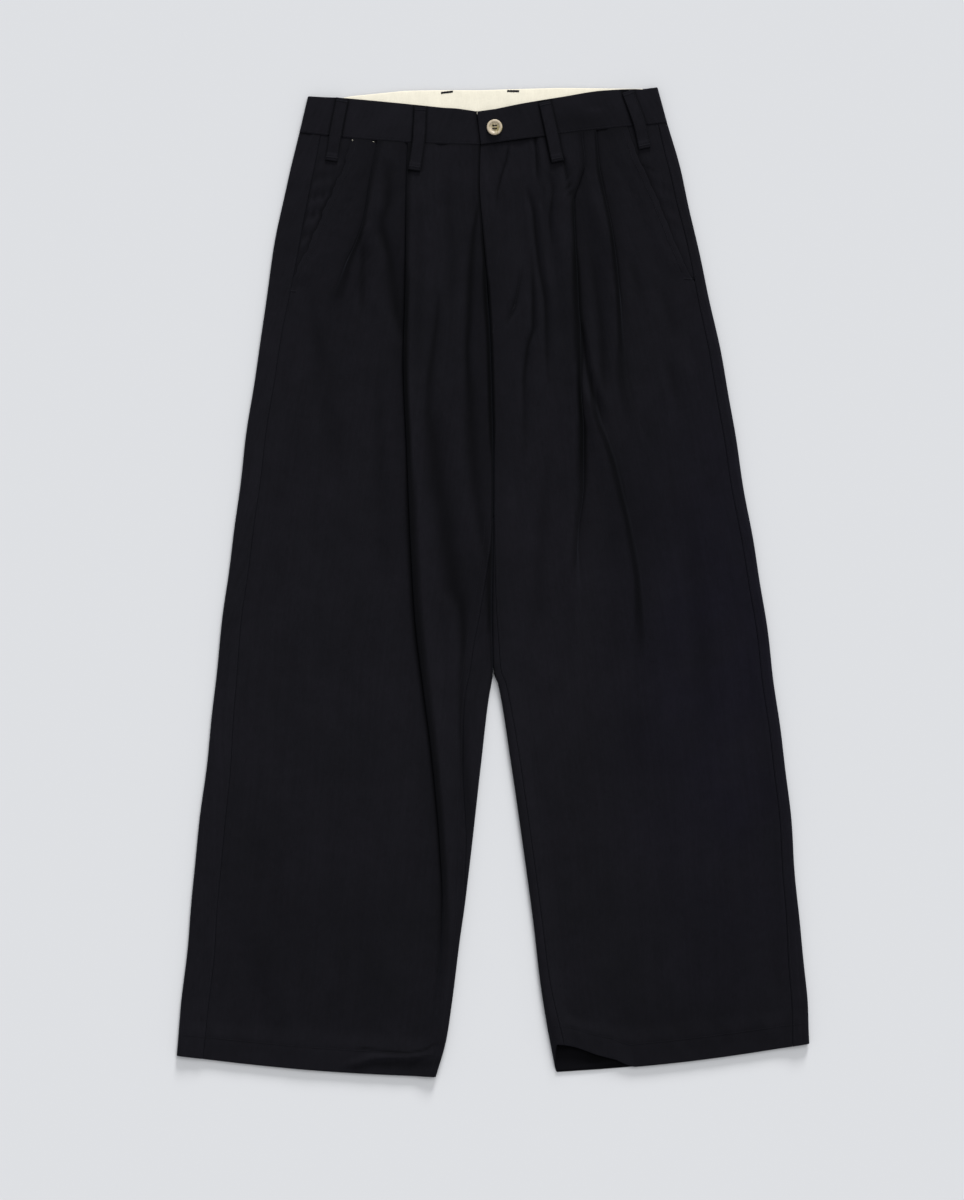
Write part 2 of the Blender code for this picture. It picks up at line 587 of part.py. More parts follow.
def front_path(row):
    """The whole path of a front, from its outer edge to its inner edge.

    A stretch that has less room than it wants takes a share of the room instead."""
    pieces = []
    first_root = row.folds[0].root
    room = first_root - row.start
    tuck_end = row.start + np.minimum(POCKET_TUCK + TUCK_LEVEL, TUCK_ROOM * room)
    beside = row.start + np.minimum(POCKET_TUCK + TUCK_LEVEL + TUCK_SLOPE, BESIDE_ROOM * room)
    pieces.append(on_top(row, spread(row.start, tuck_end, PARTS.tuck, first=True), 0))
    pieces.append(on_top(row, spread(tuck_end, beside, PARTS.beside), 0))
    pieces.append(on_top(row, spread(beside, first_root, PARTS.plain)[:, :-1], 0))
    end = front_end(row)
    roll_start = np.minimum(0.0, end) - ROLL_LEAD
    for index, fold in enumerate(row.folds):
        pieces.append(fold_points(row, index))
        if index + 1 < len(row.folds):
            goal = row.folds[index + 1].root
        else:
            goal = row.inner + roll_start
        room = goal - fold.edge
        shelf = np.minimum(fold.fall, fold.edge + SHELF_ROOM * room)
        down = np.minimum(fold.fall + fold.settle, fold.edge + DOWN_ROOM * room)
        count = index + 1
        pieces.append(on_top(row, spread(fold.edge, shelf, PARTS.shelf), count))
        pieces.append(on_top(row, spread(shelf, down, PARTS.down), count))
        pieces.append(on_top(row, spread(down, goal, PARTS.plain)[:, :-1], count))
    rolled = spread(roll_start, end, PARTS.roll, first=True)
    pieces.append(around_inner(row, rolled, len(row.folds)))
    return [np.concatenate(values, axis=1) for values in zip(*pieces)]


def back_path(row):
    """The whole path of a back, from the inseam round underneath to the side seam.

    Returns the place, the height, the heading and how far underneath each point is."""
    closing = ease((row.share - CROTCH_SHARE) / (CLOSED_SHARE - CROTCH_SHARE))
    bend = np.maximum(closing, LEAST_BEND) / row.radius
    upper = np.arcsin(np.minimum(bend * row.radius, 1.0)) / bend + 0.5 * CLOTH * (1.0 - closing)
    lower = np.pi * row.radius - front_end(row) - GAP
    reach = np.where(row.share < CLOSED_SHARE, upper, lower)
    arc_end = np.minimum(np.pi * row.radius, reach - SEAM_LEAD)
    e = np.concatenate([spread(reach, arc_end, PARTS.seam, first=True),
                        spread(arc_end, 0.0 * reach, PARTS.roll)], axis=1)
    on_arc = np.minimum(e, np.pi * row.radius)
    beyond = e - on_arc
    s = row.inner + np.sin(bend * on_arc) / bend - beyond
    base = row.floor + 0.5 * CLOTH
    surface = lambda place: layer(row, place, len(row.folds))
    z = np.where(beyond > 0.0, surface(s), base + (1.0 - np.cos(bend * on_arc)) / bend)
    heading = np.where(beyond > 0.0, np.arctan(slope_of(surface, s)), bend * on_arc - np.pi)
    pieces = [(s, z, heading, 0.5 + 0.5 * np.cos(bend * on_arc))]
    flat = spread(row.inner, row.edge, PARTS.floor)
    pieces.append((flat, base + 0.0 * flat, -np.pi + 0.0 * flat, 1.0 + 0.0 * flat))
    theta = spread(0.0, np.pi, PARTS.roll) + 0.0 * row.edge
    pieces.append((row.edge - row.radius * np.sin(theta),
                   base + row.radius * (1.0 - np.cos(theta)), -np.pi - theta,
                   0.5 + 0.5 * np.cos(theta)))
    top = spread(row.edge, row.side_seam - 0.5 * GAP, PARTS.outside)
    outside = lambda place: layer_outside(row, place)
    pieces.append((top, outside(top), np.arctan(slope_of(outside, top)), 0.0 * top))
    return [np.concatenate(values, axis=1) for values in zip(*pieces)]


def layer_outside(row, s):
    """Height of the cloth outside the side seam, where there is no fold."""
    return ground(row, s) + pocket_rise(row, s) * ease(1.0 - row.open)


def to_space(row, s, z, heading, offset, underneath):
    """Points of a wall's face: the path moved out along its normal, in space."""
    s = s - offset * np.sin(heading)
    z = z + offset * np.cos(heading)
    x = row.outer_x + s * row.along_x
    across = np.maximum((s - row.edge) / (row.width - row.edge), 0.0)
    y = height_on(row, s) + row.back_rise * across * underneath
    pulled = 1.0 - ease((row.width - s - HEM_PULL_HOLD) / (HEM_PULL_WIDTH - HEM_PULL_HOLD))
    pulled = pulled * ease((row.share - HEM_PULL_START) / (1.0 - HEM_PULL_START))
    pulled = pulled * (1.0 - underneath) * (row.leg.pull / HEM_PULL)
    return np.stack([x, y + HEM_PULL * pulled, z + HEM_PULL_RISE * pulled], axis=-1)


def signed_volume(points, faces):
    """Six times the volume that triangulated faces enclose, with its sign."""
    total = 0.0
    for face in faces:
        a = points[face[0]]
        for k in range(1, len(face) - 1):
            total += float(np.dot(a, np.cross(points[face[k]], points[face[k + 1]])))
    return total


def cloth_material(name, colour, roughness, metallic=0.0):
    """A plain Principled material."""
    material = bpy.data.materials.new(name)
    material.use_nodes = True
    shader = material.node_tree.nodes["Principled BSDF"]
    shader.inputs["Base Color"].default_value = (*colour, 1.0)
    shader.inputs["Roughness"].default_value = roughness
    shader.inputs["Metallic"].default_value = metallic
    return material


def add_object(name, points, faces, material):
    """Make a mesh object of points in millimetres, with its faces turned outwards."""
    if signed_volume(points, faces) < 0.0:
        faces = [tuple(reversed(face)) for face in faces]
    mesh = bpy.data.meshes.new(name)
    mesh.from_pydata((points * MM).tolist(), [], faces)
    mesh.materials.append(material)
    mesh.shade_smooth()
    mesh.set_sharp_from_angle(angle=math.radians(40.0))
    item = bpy.data.objects.new(name, mesh)
    bpy.context.scene.collection.objects.link(item)
    return item


def wall(name, outer, inner, material):
    """A closed wall between two grids of points: two faces and a rim round them."""
    rows, columns = outer.shape[:2]
    points = np.concatenate([outer.reshape(-1, 3), inner.reshape(-1, 3)])
    index = np.arange(rows * columns).reshape(rows, columns)
    under = index + rows * columns
    faces = []
    for i in range(rows - 1):
        for j in range(columns - 1):
            a, b, c, d = index[i, j], index[i, j + 1], index[i + 1, j + 1], index[i + 1, j]
            e, f, g, h = under[i, j], under[i, j + 1], under[i + 1, j + 1], under[i + 1, j]
            faces += [(a, b, c), (a, c, d), (g, f, e), (h, g, e)]
    rim = [(i, 0) for i in range(rows)] + [(rows - 1, j) for j in range(1, columns)]
    rim += [(i, columns - 1) for i in range(rows - 2, -1, -1)]
    rim += [(0, j) for j in range(columns - 2, 0, -1)]
    for (i, j), (k, m) in zip(rim, rim[1:] + rim[:1]):
        a, b, c, d = index[i, j], index[k, m], under[k, m], under[i, j]
        faces += [(a, b, d), (b, c, d)] if k < i else [(a, b, c), (a, c, d)]
    faces = [tuple(int(corner) for corner in face) for face in faces]
    return add_object(name, points, faces, material)


def make_front(side, material):
    """A front panel with its pleats, from the pocket mouth or side seam to the inner edge."""
    row = leg_row(side, ROWS[:, None])
    s, z, heading = front_path(row)
    angle = np.clip(-heading, 0.0, np.pi)
    closed = (s > row.inner) & (row.share >= CLOSED_SHARE)
    underneath = np.where(closed, 0.5 - 0.5 * np.cos(angle), 0.0)
    outer = to_space(row, s, z, heading, 0.5 * CLOTH, underneath)
    inner = to_space(row, s, z, heading, -0.5 * CLOTH - row.extra, underneath)
    return wall("front_" + side, outer, inner, material)


def make_back(side, material):
    """A back panel, which lies on the floor and wraps round both edges of the leg."""
    row = leg_row(side, ROWS[:, None])
    s, z, heading, underneath = back_path(row)
    outer = to_space(row, s, z, heading, 0.5 * CLOTH, underneath)
    inner = to_space(row, s, z, heading, -0.5 * CLOTH - row.extra, underneath)
    return wall("back_" + side, outer, inner, material)


def make_pocket_facing(side, material):
    """The self-cloth facing that shows between the pocket mouth and the side seam."""
    row = leg_row(side, ROWS[ROWS <= FACING_END, None])
    s = spread(row.seam, row.start + POCKET_TUCK, PARTS.facing, first=True)
    surface = lambda place: ground(row, place)
    heading = np.arctan(slope_of(surface, s))
    outer = to_space(row, s, surface(s), heading, 0.5 * CLOTH, 0.0)
    inner = to_space(row, s, surface(s), heading, -0.5 * CLOTH, 0.0)
    return wall("pocket_facing_" + side, outer, inner, material)


BAND_HEIGHT = 40.0
BAND_START = 2.0 * GAP / BAND_HEIGHT
BAND_SHARES = np.array([BAND_START, 0.5, 1.0])
BAND_BACK_Z = LOOP_LIFT + 0.5 * BAND_WALL
BAND_FRONT_Z = BAND_BACK_Z + 0.5 * BAND_WALL + GAP + CLOTH + GAP + 0.5 * BAND_WALL
BAND_TOP_Z = BAND_FRONT_Z + 0.5 * BAND_WALL
BAND_RADIUS = 0.5 * (BAND_FRONT_Z - BAND_BACK_Z)
BAND_PITCH = BAND_WALL + GAP
LAP_START = UNDERLAP + 2.0


def band_line(side, name, share):
    """One named size of the band, between its seam and its top edge."""
    low, high = (getattr(line, name) for line in LEGS[side].band)
    return low + (high - low) * share


def lap_rise(side, past):
    """How much the left end of the band rises to lie over the right one."""
    if side == "right":
        return 0.0 * past
    return BAND_PITCH * ease((past + LAP_START + LAP_SLOPE) / LAP_SLOPE)


def band_width(side, part, share):
    """Length of the band's front or back from its side to its end."""
    return np.abs(band_line(side, part + "_x", share) - band_line(side, "outer_x", share))


def band_points(side, s, z, heading, offset, on_back, share):
    """Points of the band's face in space.

    s is the distance from the outer edge; on_back is 1 underneath and 0 on top.
    Past its own end, the band follows the other half's line, with a little taper."""
    s = s - offset * np.sin(heading)
    z = z + offset * np.cos(heading)
    outer_x = band_line(side, "outer_x", share)
    outer_y = band_line(side, "outer_y", share)
    other = "left" if side == "right" else "right"
    other_fall = band_line(other, "outer_y", share) - band_line(other, "front_y", share)
    other_slope = other_fall / band_width(other, "front", share)
    points = []
    for part in ("front", "back"):
        end_x = band_line(side, part + "_x", share)
        end_y = band_line(side, part + "_y", share)
        bow = band_line(side, part + "_bow", share)
        width = band_width(side, part, share) - 0.5 * GAP
        slope = (end_y - outer_y) / width
        x = outer_x + np.sign(end_x - outer_x) * s
        y = outer_y + slope * s + bow * np.sin(np.pi * np.clip(s / width, 0.0, 1.0))
        turn_up = other_slope - slope + UNDERLAP_TAPER * (1.0 - share)
        y = y + np.maximum(s - width, 0.0) * turn_up
        y = y + share * column(SWAYS[side, part], "s", "rise", s)
        points.append(np.stack([x, y, z], axis=-1))
    weight = on_back[..., None]
    return points[0] * (1.0 - weight) + points[1] * weight


def make_band(side, material):
    """Half of the waistband: the back, round the side, and the front up to its lap."""
    share = BAND_SHARES[:, None]
    width = band_width(side, "front", share) - 0.5 * GAP
    back_width = band_width(side, "back", share) - 0.5 * GAP
    edge = BAND_RADIUS + 0.5 * BAND_WALL
    reach = UNDERLAP if side == "right" else 0.0
    flat = spread(back_width, edge, BAND_PARTS.back, first=True)
    theta = spread(0.0, np.pi, PARTS.roll) + 0.0 * width
    slope_start = width - LAP_START - LAP_SLOPE
    top = np.concatenate([spread(edge + 0.0 * width, slope_start, BAND_PARTS.front),
                          spread(slope_start, slope_start + LAP_SLOPE, BAND_PARTS.slope),
                          spread(slope_start + LAP_SLOPE, width + reach, BAND_PARTS.lap)], axis=1)
    s = np.concatenate([flat, edge - BAND_RADIUS * np.sin(theta), top], axis=1)
    z = np.concatenate([BAND_BACK_Z + 0.0 * flat,
                        BAND_BACK_Z + BAND_RADIUS * (1.0 - np.cos(theta)),
                        BAND_FRONT_Z + lap_rise(side, top - width)], axis=1)
    heading = np.concatenate([-np.pi + 0.0 * flat, -np.pi - theta, 0.0 * top], axis=1)
    on_back = np.concatenate([1.0 + 0.0 * flat, 0.5 + 0.5 * np.cos(theta), 0.0 * top], axis=1)
    shares = share + 0.0 * s
    outer = band_points(side, s, z, heading, 0.5 * BAND_WALL, on_back, shares)
    inner = band_points(side, s, z, heading, -0.5 * BAND_WALL, on_back, shares)
    return wall("waistband_" + side, outer, inner, material)


def back_edge(x):
    """Height up the garment of the band's top edge at the back, across both halves."""
    heights = []
    for side in ("right", "left"):
        top = LEGS[side].band[1]
        across = np.clip((x - top.outer_x) / (top.back_x - top.outer_x), 0.0, 1.0)
        bow = top.back_bow * np.sin(np.pi * across)
        sway = column(SWAYS[side, "back"], "s", "rise", np.abs(x - top.outer_x))
        heights.append(top.outer_y + (top.back_y - top.outer_y) * across + bow + sway)
    return np.where(x < CENTRE_X, heights[0], heights[1])


def make_facing(material):
    """The cream facing on the inside of the band's back."""
    x = np.concatenate([spread(FACING_RIGHT_X, CENTRE_X, BAND_PARTS.facing, first=True),
                        spread(CENTRE_X, FACING_LEFT_X, BAND_PARTS.facing)])[None, :]
    top = back_edge(x) - FACING_EDGE
    y = np.concatenate([top - FACING_DEPTH, top])
    x = np.concatenate([x, x])
    low = BAND_BACK_Z + 0.5 * BAND_WALL + GAP
    outer = np.stack([x, y, low + CLOTH + 0.0 * x], axis=-1)
    inner = np.stack([x, y, low + 0.0 * x], axis=-1)
    return wall("waistband_facing", outer, inner, material)


def front_cover(side, x, y):
    """Height of the front's outer face at places (x, y) near the waist."""
    share = 0.5 * DIP_END + 0.0 * x
    for _ in range(SHARE_STEPS):
        row = leg_row(side, share)
        s = (x - row.outer_x) / row.along_x
        share = share + (height_on(row, s) - y) / LEG_LENGTH
    row = leg_row(side, np.maximum(share, 0.0))
    z = ground(row, s) + pocket_rise(row, s)
    for fold in row.folds:
        over = s > fold.edge - fold.radius - CLOTH
        z = z + np.where(over, fold.rise * bell((s - fold.fall) / fold.settle), 0.0)
    return z + 0.5 * CLOTH


def make_front_loop(loop, material):
    """A belt loop that crosses the band and is tacked down on the front below it.

    At each station it lies just above the highest cloth under it and beside it."""
    y = np.linspace(loop.top_y, loop.end_y, LOOP_STATIONS)
    x = through((loop.end_y, loop.seam_y, loop.top_y), (loop.end_x, loop.seam_x, loop.top_x), y)
    across = np.linspace(-0.5, 0.5, LOOP_PROBES) * (LOOP_WIDTH + 2.0 * LOOP_MARGIN)
    place_x = x[:, None] + across[None, :]
    place_y = y[:, None] + 0.0 * place_x
    cover = front_cover(loop.side, place_x, place_y).max(axis=1)
    cover = np.where(y > loop.seam_y - SEAM_BELOW, np.maximum(cover, BAND_TOP_Z), cover)
    cover = np.where(y > loop.seam_y + SEAM_ABOVE, BAND_TOP_Z, cover)
    padded = np.pad(cover, 1, mode="edge")
    low = np.maximum(np.maximum(padded[:-2], padded[2:]), cover) + LOOP_CLEARANCE
    half = 0.5 * LOOP_WIDTH * np.array([-1.0, 1.0])
    tilt = np.gradient(x, y)
    grid_x = x[:, None] + half[None, :]
    grid_y = y[:, None] - tilt[:, None] * half[None, :]
    outer = np.stack([grid_x, grid_y, low[:, None] + LOOP_WALL + 0.0 * grid_x], axis=-1)
    inner = np.stack([grid_x, grid_y, low[:, None] + 0.0 * grid_x], axis=-1)
    return wall(loop.name, outer, inner, material)


def make_back_loop(name, x, material):
    """A belt loop under the back of the band, lying on the floor."""
    half = 0.5 * LOOP_WIDTH
    grid_x = np.array([[x - half, x + half]] * 2)
    grid_y = np.array([[BACK_LOOP_END] * 2, [BACK_LOOP_TOP] * 2])
    outer = np.stack([grid_x, grid_y, BACK_LOOP_WALL + 0.0 * grid_x], axis=-1)
    inner = np.stack([grid_x, grid_y, 0.0 * grid_x], axis=-1)
    return wall(name, outer, inner, material)


def turned(name, profile, sides, material):
    """A solid turned round Z from a profile of (radius, height) that starts and ends on the axis."""
    ring = np.arange(sides) * 2.0 * np.pi / sides
    points = [(0.0, 0.0, profile[0][1])]
    for radius, height in profile[1:-1]:
        points += [(radius * math.cos(a), radius * math.sin(a), height) for a in ring]
    points.append((0.0, 0.0, profile[-1][1]))
    last = len(points) - 1
    faces = []
    for k in range(sides):
        after = (k + 1) % sides
        faces.append((0, 1 + after, 1 + k))
        for r in range(len(profile) - 3):
            low, high = 1 + r * sides, 1 + (r + 1) * sides
            faces.append((low + k, low + after, high + after, high + k))
        top = 1 + (len(profile) - 3) * sides
        faces.append((top + k, top + after, last))
    return add_object(name, np.array(points), faces, material)


def make_button(material):
    """A four-hole button with a dished middle and a rounded rim."""
    base = BAND_TOP_Z + BAND_PITCH + GAP
    profile = [(BUTTON_RADIUS - inset, height) for inset, height in BUTTON_PROFILE]
    profile = [(0.0, profile[0][1]), *profile, (0.0, profile[-1][1])]
    button = turned("button", profile, BUTTON_SIDES, material)
    button.location = (BUTTON_X * MM, BUTTON_Y * MM, base * MM)
    mesh = bpy.data.meshes.new("button_holes")
    holes = bmesh.new()
    for k in range(4):
        angle = math.radians(45.0 + 90.0 * k)
        made = bmesh.ops.create_cone(holes, cap_ends=True, segments=HOLE_SIDES,
                                     depth=3.0 * BUTTON_HEIGHT * MM,
                                     radius1=BUTTON_HOLE_RADIUS * MM,
                                     radius2=BUTTON_HOLE_RADIUS * MM)
        offset = BUTTON_HOLE_OFFSET * math.sqrt(2.0) * MM
        bmesh.ops.translate(holes, verts=made["verts"],
                            vec=(offset * math.cos(angle), offset * math.sin(angle), 0.0))
    holes.to_mesh(mesh)
    holes.free()
    cutter = bpy.data.objects.new("button_holes", mesh)
    cutter.location = button.location
    cutter.hide_render = True
    cutter.display_type = "WIRE"
    bpy.context.scene.collection.objects.link(cutter)
    cut = button.modifiers.new("holes", "BOOLEAN")
    cut.operation = "DIFFERENCE"
    cut.solver = "EXACT"
    cut.object = cutter
    return button


NAVY = (0.0092, 0.0092, 0.0130)
CREAM = (0.838, 0.783, 0.665)
HORN = (0.42, 0.33, 0.20)
CLOTH_ROUGHNESS = 0.85
HORN_ROUGHNESS = 0.35

for leg_side in ("right", "left"):
    make_front(leg_side, cloth_material("front_" + leg_side, NAVY, CLOTH_ROUGHNESS))
    make_back(leg_side, cloth_material("back_" + leg_side, NAVY, CLOTH_ROUGHNESS))
    make_pocket_facing(leg_side, cloth_material("pocket_facing_" + leg_side, NAVY, CLOTH_ROUGHNESS))
    make_band(leg_side, cloth_material("waistband_" + leg_side, NAVY, CLOTH_ROUGHNESS))
make_facing(cloth_material("waistband_facing", CREAM, CLOTH_ROUGHNESS))
for front_loop in FRONT_LOOPS:
    make_front_loop(front_loop, cloth_material(front_loop.name, NAVY, CLOTH_ROUGHNESS))
for loop_name, loop_x in BACK_LOOPS.items():
    make_back_loop(loop_name, loop_x, cloth_material(loop_name, NAVY, CLOTH_ROUGHNESS))
make_button(cloth_material("button", HORN, HORN_ROUGHNESS))
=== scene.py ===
# %% [markdown]
# # Pleated trousers, laid flat
#
# This lesson dresses a finished set of solids: wide-leg trousers in a very dark navy
# cloth, lying on their back with the front up. The solids say where every piece
# is. The lesson makes each piece again as a fine surface, with its creases and its
# sewing, and gives it a finish.
#
# All shapes here are rows of numbers worked out at once with numpy. Right and left
# are the wearer's, so the right leg lies at -X. Sizes are in millimetres until a
# shape goes into a mesh, which is in metres.

# %% Load the frame
from collections import namedtuple
from functools import reduce
from types import SimpleNamespace
import math

import bpy
import numpy as np
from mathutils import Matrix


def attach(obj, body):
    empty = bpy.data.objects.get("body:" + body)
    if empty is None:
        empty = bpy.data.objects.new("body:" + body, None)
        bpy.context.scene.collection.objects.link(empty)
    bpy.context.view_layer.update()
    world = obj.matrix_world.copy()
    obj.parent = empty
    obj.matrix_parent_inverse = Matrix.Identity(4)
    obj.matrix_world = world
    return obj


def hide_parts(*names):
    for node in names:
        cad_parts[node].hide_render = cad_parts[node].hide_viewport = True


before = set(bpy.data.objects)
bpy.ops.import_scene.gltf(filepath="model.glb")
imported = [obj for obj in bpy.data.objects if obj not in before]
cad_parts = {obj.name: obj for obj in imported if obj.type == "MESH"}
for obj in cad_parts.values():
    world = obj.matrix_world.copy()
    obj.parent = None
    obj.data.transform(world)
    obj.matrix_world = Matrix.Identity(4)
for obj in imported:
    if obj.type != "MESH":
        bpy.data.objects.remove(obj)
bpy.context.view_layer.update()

# %% [markdown]
# The photograph looks straight down on a pale sheet, so the camera does too. It
# stands high with a long lens, so that the sides of the cloth don't show. The floor
# isn't part of the trousers.

# %% Camera and floor
MM = 0.001
PHOTO_HEIGHT = 1200
SCALE = 1.124
FIELD_HEIGHT = PHOTO_HEIGHT * SCALE * MM
VIEW_CENTRE = (-12.4 * MM, -20.2 * MM)
SENSOR, LENS = 36.0, 90.0

camera = bpy.data.objects.new("camera", bpy.data.cameras.new("camera"))
camera.data.sensor_fit = "AUTO"
camera.data.sensor_width = SENSOR
camera.data.lens = LENS
camera.location = (*VIEW_CENTRE, FIELD_HEIGHT * LENS / SENSOR)
camera.data.clip_end = 50.0
bpy.context.scene.collection.objects.link(camera)
bpy.context.scene.camera = camera

FLOOR_HALF = 4.0
floor_mesh = bpy.data.meshes.new("floor")
floor_mesh.from_pydata([(x, y, 0.0) for x, y in ((-FLOOR_HALF, -FLOOR_HALF), (FLOOR_HALF, -FLOOR_HALF),
                                                 (FLOOR_HALF, FLOOR_HALF), (-FLOOR_HALF, FLOOR_HALF))],
                       [], [(0, 1, 2, 3)])
floor = bpy.data.objects.new("floor", floor_mesh)
bpy.context.scene.collection.objects.link(floor)
print("camera height:", round(camera.location.z, 3), "m")

# %% [markdown]
# Studio light for dark cloth is mostly a big soft dome, so that no fold goes quite
# black. One soft lamp low over the waistband throws the shadow that shows below the
# hems, and a second one high on the right shapes the pleats.

# %% Light
DOME_COLOUR = (0.965, 0.980, 1.0, 1.0)
DOME_STRENGTH = 0.507
LAMPS = (
    ("lamp_low", 2.99, 18.0, 9.0, 16.0),
    ("lamp_high", 0.89, 58.0, 40.0, 35.0),
)

world = bpy.data.worlds.new("studio")
world.use_nodes = True
world.node_tree.nodes["Background"].inputs["Color"].default_value = DOME_COLOUR
world.node_tree.nodes["Background"].inputs["Strength"].default_value = DOME_STRENGTH
bpy.context.scene.world = world


def add_lamp(name, strength, height, turn, softness):
    """A far soft lamp: height above the floor and turn from +Y towards +X, in degrees."""
    lamp = bpy.data.objects.new(name, bpy.data.lights.new(name, "SUN"))
    lamp.data.energy = strength
    lamp.data.angle = math.radians(softness)
    lamp.rotation_euler = (-math.radians(90.0 - height), 0.0, -math.radians(turn))
    bpy.context.scene.collection.objects.link(lamp)


for lamp_line in LAMPS:
    add_lamp(*lamp_line)
bpy.context.scene.view_settings.view_transform = "Standard"
print("lamps:", [lamp_line[0] for lamp_line in LAMPS])

# %% [markdown]
# A few small functions do all the shaping. `ease`, `bell` and `hump` join two heights
# without a kink, and `sine` makes waves. `through` draws a curve through a few sizes
# without ever overshooting them. A table has named columns, and `columns` reads such
# curves from it, with its first column as the place.

# %% Curves
def ease(x):
    """Smooth step: 0 below 0, 1 above 1, level at both ends."""
    x = np.clip(x, 0.0, 1.0)
    return x * x * (3.0 - 2.0 * x)


def bell(x):
    """Half a cosine wave: 1 and level at 0, falling to 0 and level from 1 on."""
    return 0.5 + 0.5 * np.cos(np.pi * np.clip(x, 0.0, 1.0))


def hump(x):
    """Bell curve without an end: e to the power of minus x squared."""
    return np.exp(-x * x)


def sine(x, length, phase=0.0):
    """Sine wave of the given length."""
    return np.sin(2.0 * np.pi * x / length + phase)


def through(stations, values, at):
    """Monotone cubic through the values at rising stations, held past both ends.

    Each inner slope is the weighted harmonic mean of its neighbours' slopes, or
    zero where they differ in sign, so that the curve never overshoots."""
    stations = np.asarray(stations, float)
    values = np.asarray(values, float)
    step = np.diff(stations)
    slope = np.diff(values) / step
    tangent = np.zeros(len(values))
    tangent[0], tangent[-1] = slope[0], slope[-1]
    same = slope[:-1] * slope[1:] > 0.0
    first = np.where(same, slope[:-1], 1.0)
    second = np.where(same, slope[1:], 1.0)
    near = 2.0 * step[1:] + step[:-1]
    far = step[1:] + 2.0 * step[:-1]
    tangent[1:-1] = np.where(same, (near + far) / (near / first + far / second), 0.0)
    at = np.clip(at, stations[0], stations[-1])
    k = np.clip(np.searchsorted(stations, at, side="right") - 1, 0, len(step) - 1)
    t = (at - stations[k]) / step[k]
    return (values[k] * (1.0 + 2.0 * t) * (1.0 - t) ** 2
            + values[k + 1] * t * t * (3.0 - 2.0 * t)
            + step[k] * tangent[k] * t * (1.0 - t) ** 2
            + step[k] * tangent[k + 1] * t * t * (t - 1.0))


def columns(lines, names, at):
    """Read named columns of a table at the given values of its first column."""
    rows = sorted(lines)
    stations = [line[0] for line in rows]
    return [through(stations, [getattr(line, name) for line in rows], at) for name in names.split()]


def column(lines, name, at):
    """Read one named column of a table."""
    return columns(lines, name, at)[0]


def table(kind, *lines):
    """A table whose lines are named tuples of one kind."""
    return tuple(kind(*line) for line in lines)


print("ease and bell at a quarter:", ease(0.25), bell(0.25))

# %% [markdown]
# Next come the sizes of the garment. The solids were worked out from these sizes,
# and the fine surfaces follow the same ones, so that each lies where its solid is:
# a wall's thickness, the lengths of the pieces, and where the layers lie on each
# other.

# %% Walls, gaps and lengths
CLOTH = 1.0
HALF = 0.5 * CLOTH
GAP = 0.3
PITCH = CLOTH + GAP
BAND_WALL = 2.0
LOOP_WALL = 1.2
BACK_LOOP_WALL = 1.0

# Lengths of the garment
HEM_DEPTH = 24.0
HEM_TURN = 1.0
LEG_LENGTH = 1040.0
SIDE_BEAD = 36.0
INNER_BEAD = 26.0
FLY_LAP = 9.0
POCKET_TUCK = 12.0
MOUTH_FADE = 20.0
UNDERLAP = 38.0
UNDERLAP_TAPER = 0.08
LAP_SLOPE = 30.0
CENTRE_X = -14.6
LOOP_WIDTH = 14.0

# The hem's fold and the lower end of the pocket, as shares of the leg's length
HEM_SHARE = 1.0 - HEM_DEPTH / LEG_LENGTH
MOUTH_END = 0.168
FACING_END = MOUTH_END - MOUTH_FADE / LEG_LENGTH
print("the hem's fold lies at", round(HEM_SHARE, 4), "of the leg's length")

# %% [markdown]
# A trouser leg that lies flat is a flattened tube. Cut across, it is a closed ring:
# from the side seam over the front, round a roll at the inner edge, back along the
# floor and up round the roll at the outer edge. The first table says how that ring
# changes down the leg. The second and third say where its rows start and end and
# how tightly the cloth rolls over at the edges.

# %% The legs' rings
# One row of this table describes a leg at one share of its length:
# outer_x and inner_x are its two edges, side_seam is how far the side seam lies
# in from the outer edge, inseam is how far the inseam lies from the inner edge
# (measured along the cloth, and below zero where it has rolled under), loft is
# how high the front stands off the back, bow lifts the middle of the row, and
# back_rise is how much higher the back's row is at the centre than the front's.
Section = namedtuple("Section", "share outer_x inner_x side_seam inseam loft bow back_rise")

RIGHT_SECTIONS = table(Section, (0, -217.5, -13.8, 24, 0, 2.3, -3.2, 21),
    (0.04, -227.5, -14.8, 26, 0, 2.9, -2, 20), (0.08, -236.5, -12.2, 27, 0, 3.2, -1, 18),
    (0.12, -244.8, -8.6, 28, 0, 3.4, -0.5, 16), (0.17, -253.8, -5.2, 25.5, 0, 3.4, 0, 13),
    (0.22, -260.5, -2.6, 22.5, 0, 3.2, 0, 9), (0.28, -269.4, -0.9, 22, 0, 3, 0, 4),
    (0.34, -278.2, 0.4, 22, 0, 2.8, 0, 0), (0.42, -289.6, 0, 21.5, 3, 2.4, 0, 0),
    (0.5, -300.2, -1.4, 21.5, 14, 2, 0, 0), (0.545, -305.2, -0.6, 21.8, 23.5, 1.7, 0, 0),
    (0.568, -308, -0.1, 22.2, 27, 1.6, 0, 0), (0.576, -309, -1.2, 22.4, 27.6, 1.5, 0, 0),
    (0.584, -310, -3, 22.6, 28, 1.5, 0, 0), (0.66, -319.3, -12.8, 25.5, 22, 1.2, 0, 0),
    (0.75, -329.5, -23.3, 29, 8, 1, 0, 0), (0.785, -333.5, -27.6, 29.2, 4.8, 0.9, 0, 0),
    (0.815, -336.5, -31.4, 29.3, 2, 0.9, 0, 0), (0.85, -340, -36.6, 29.5, 0, 0.8, 0, 0),
    (0.92, -348, -45.8, 31, 0, 0.6, -1, 0), (0.96, -351.6, -52.2, 30.4, 0, 0.5, -2.4, 0),
    (1, -355.2, -64, 29.5, 0, 0.4, -4, 0))
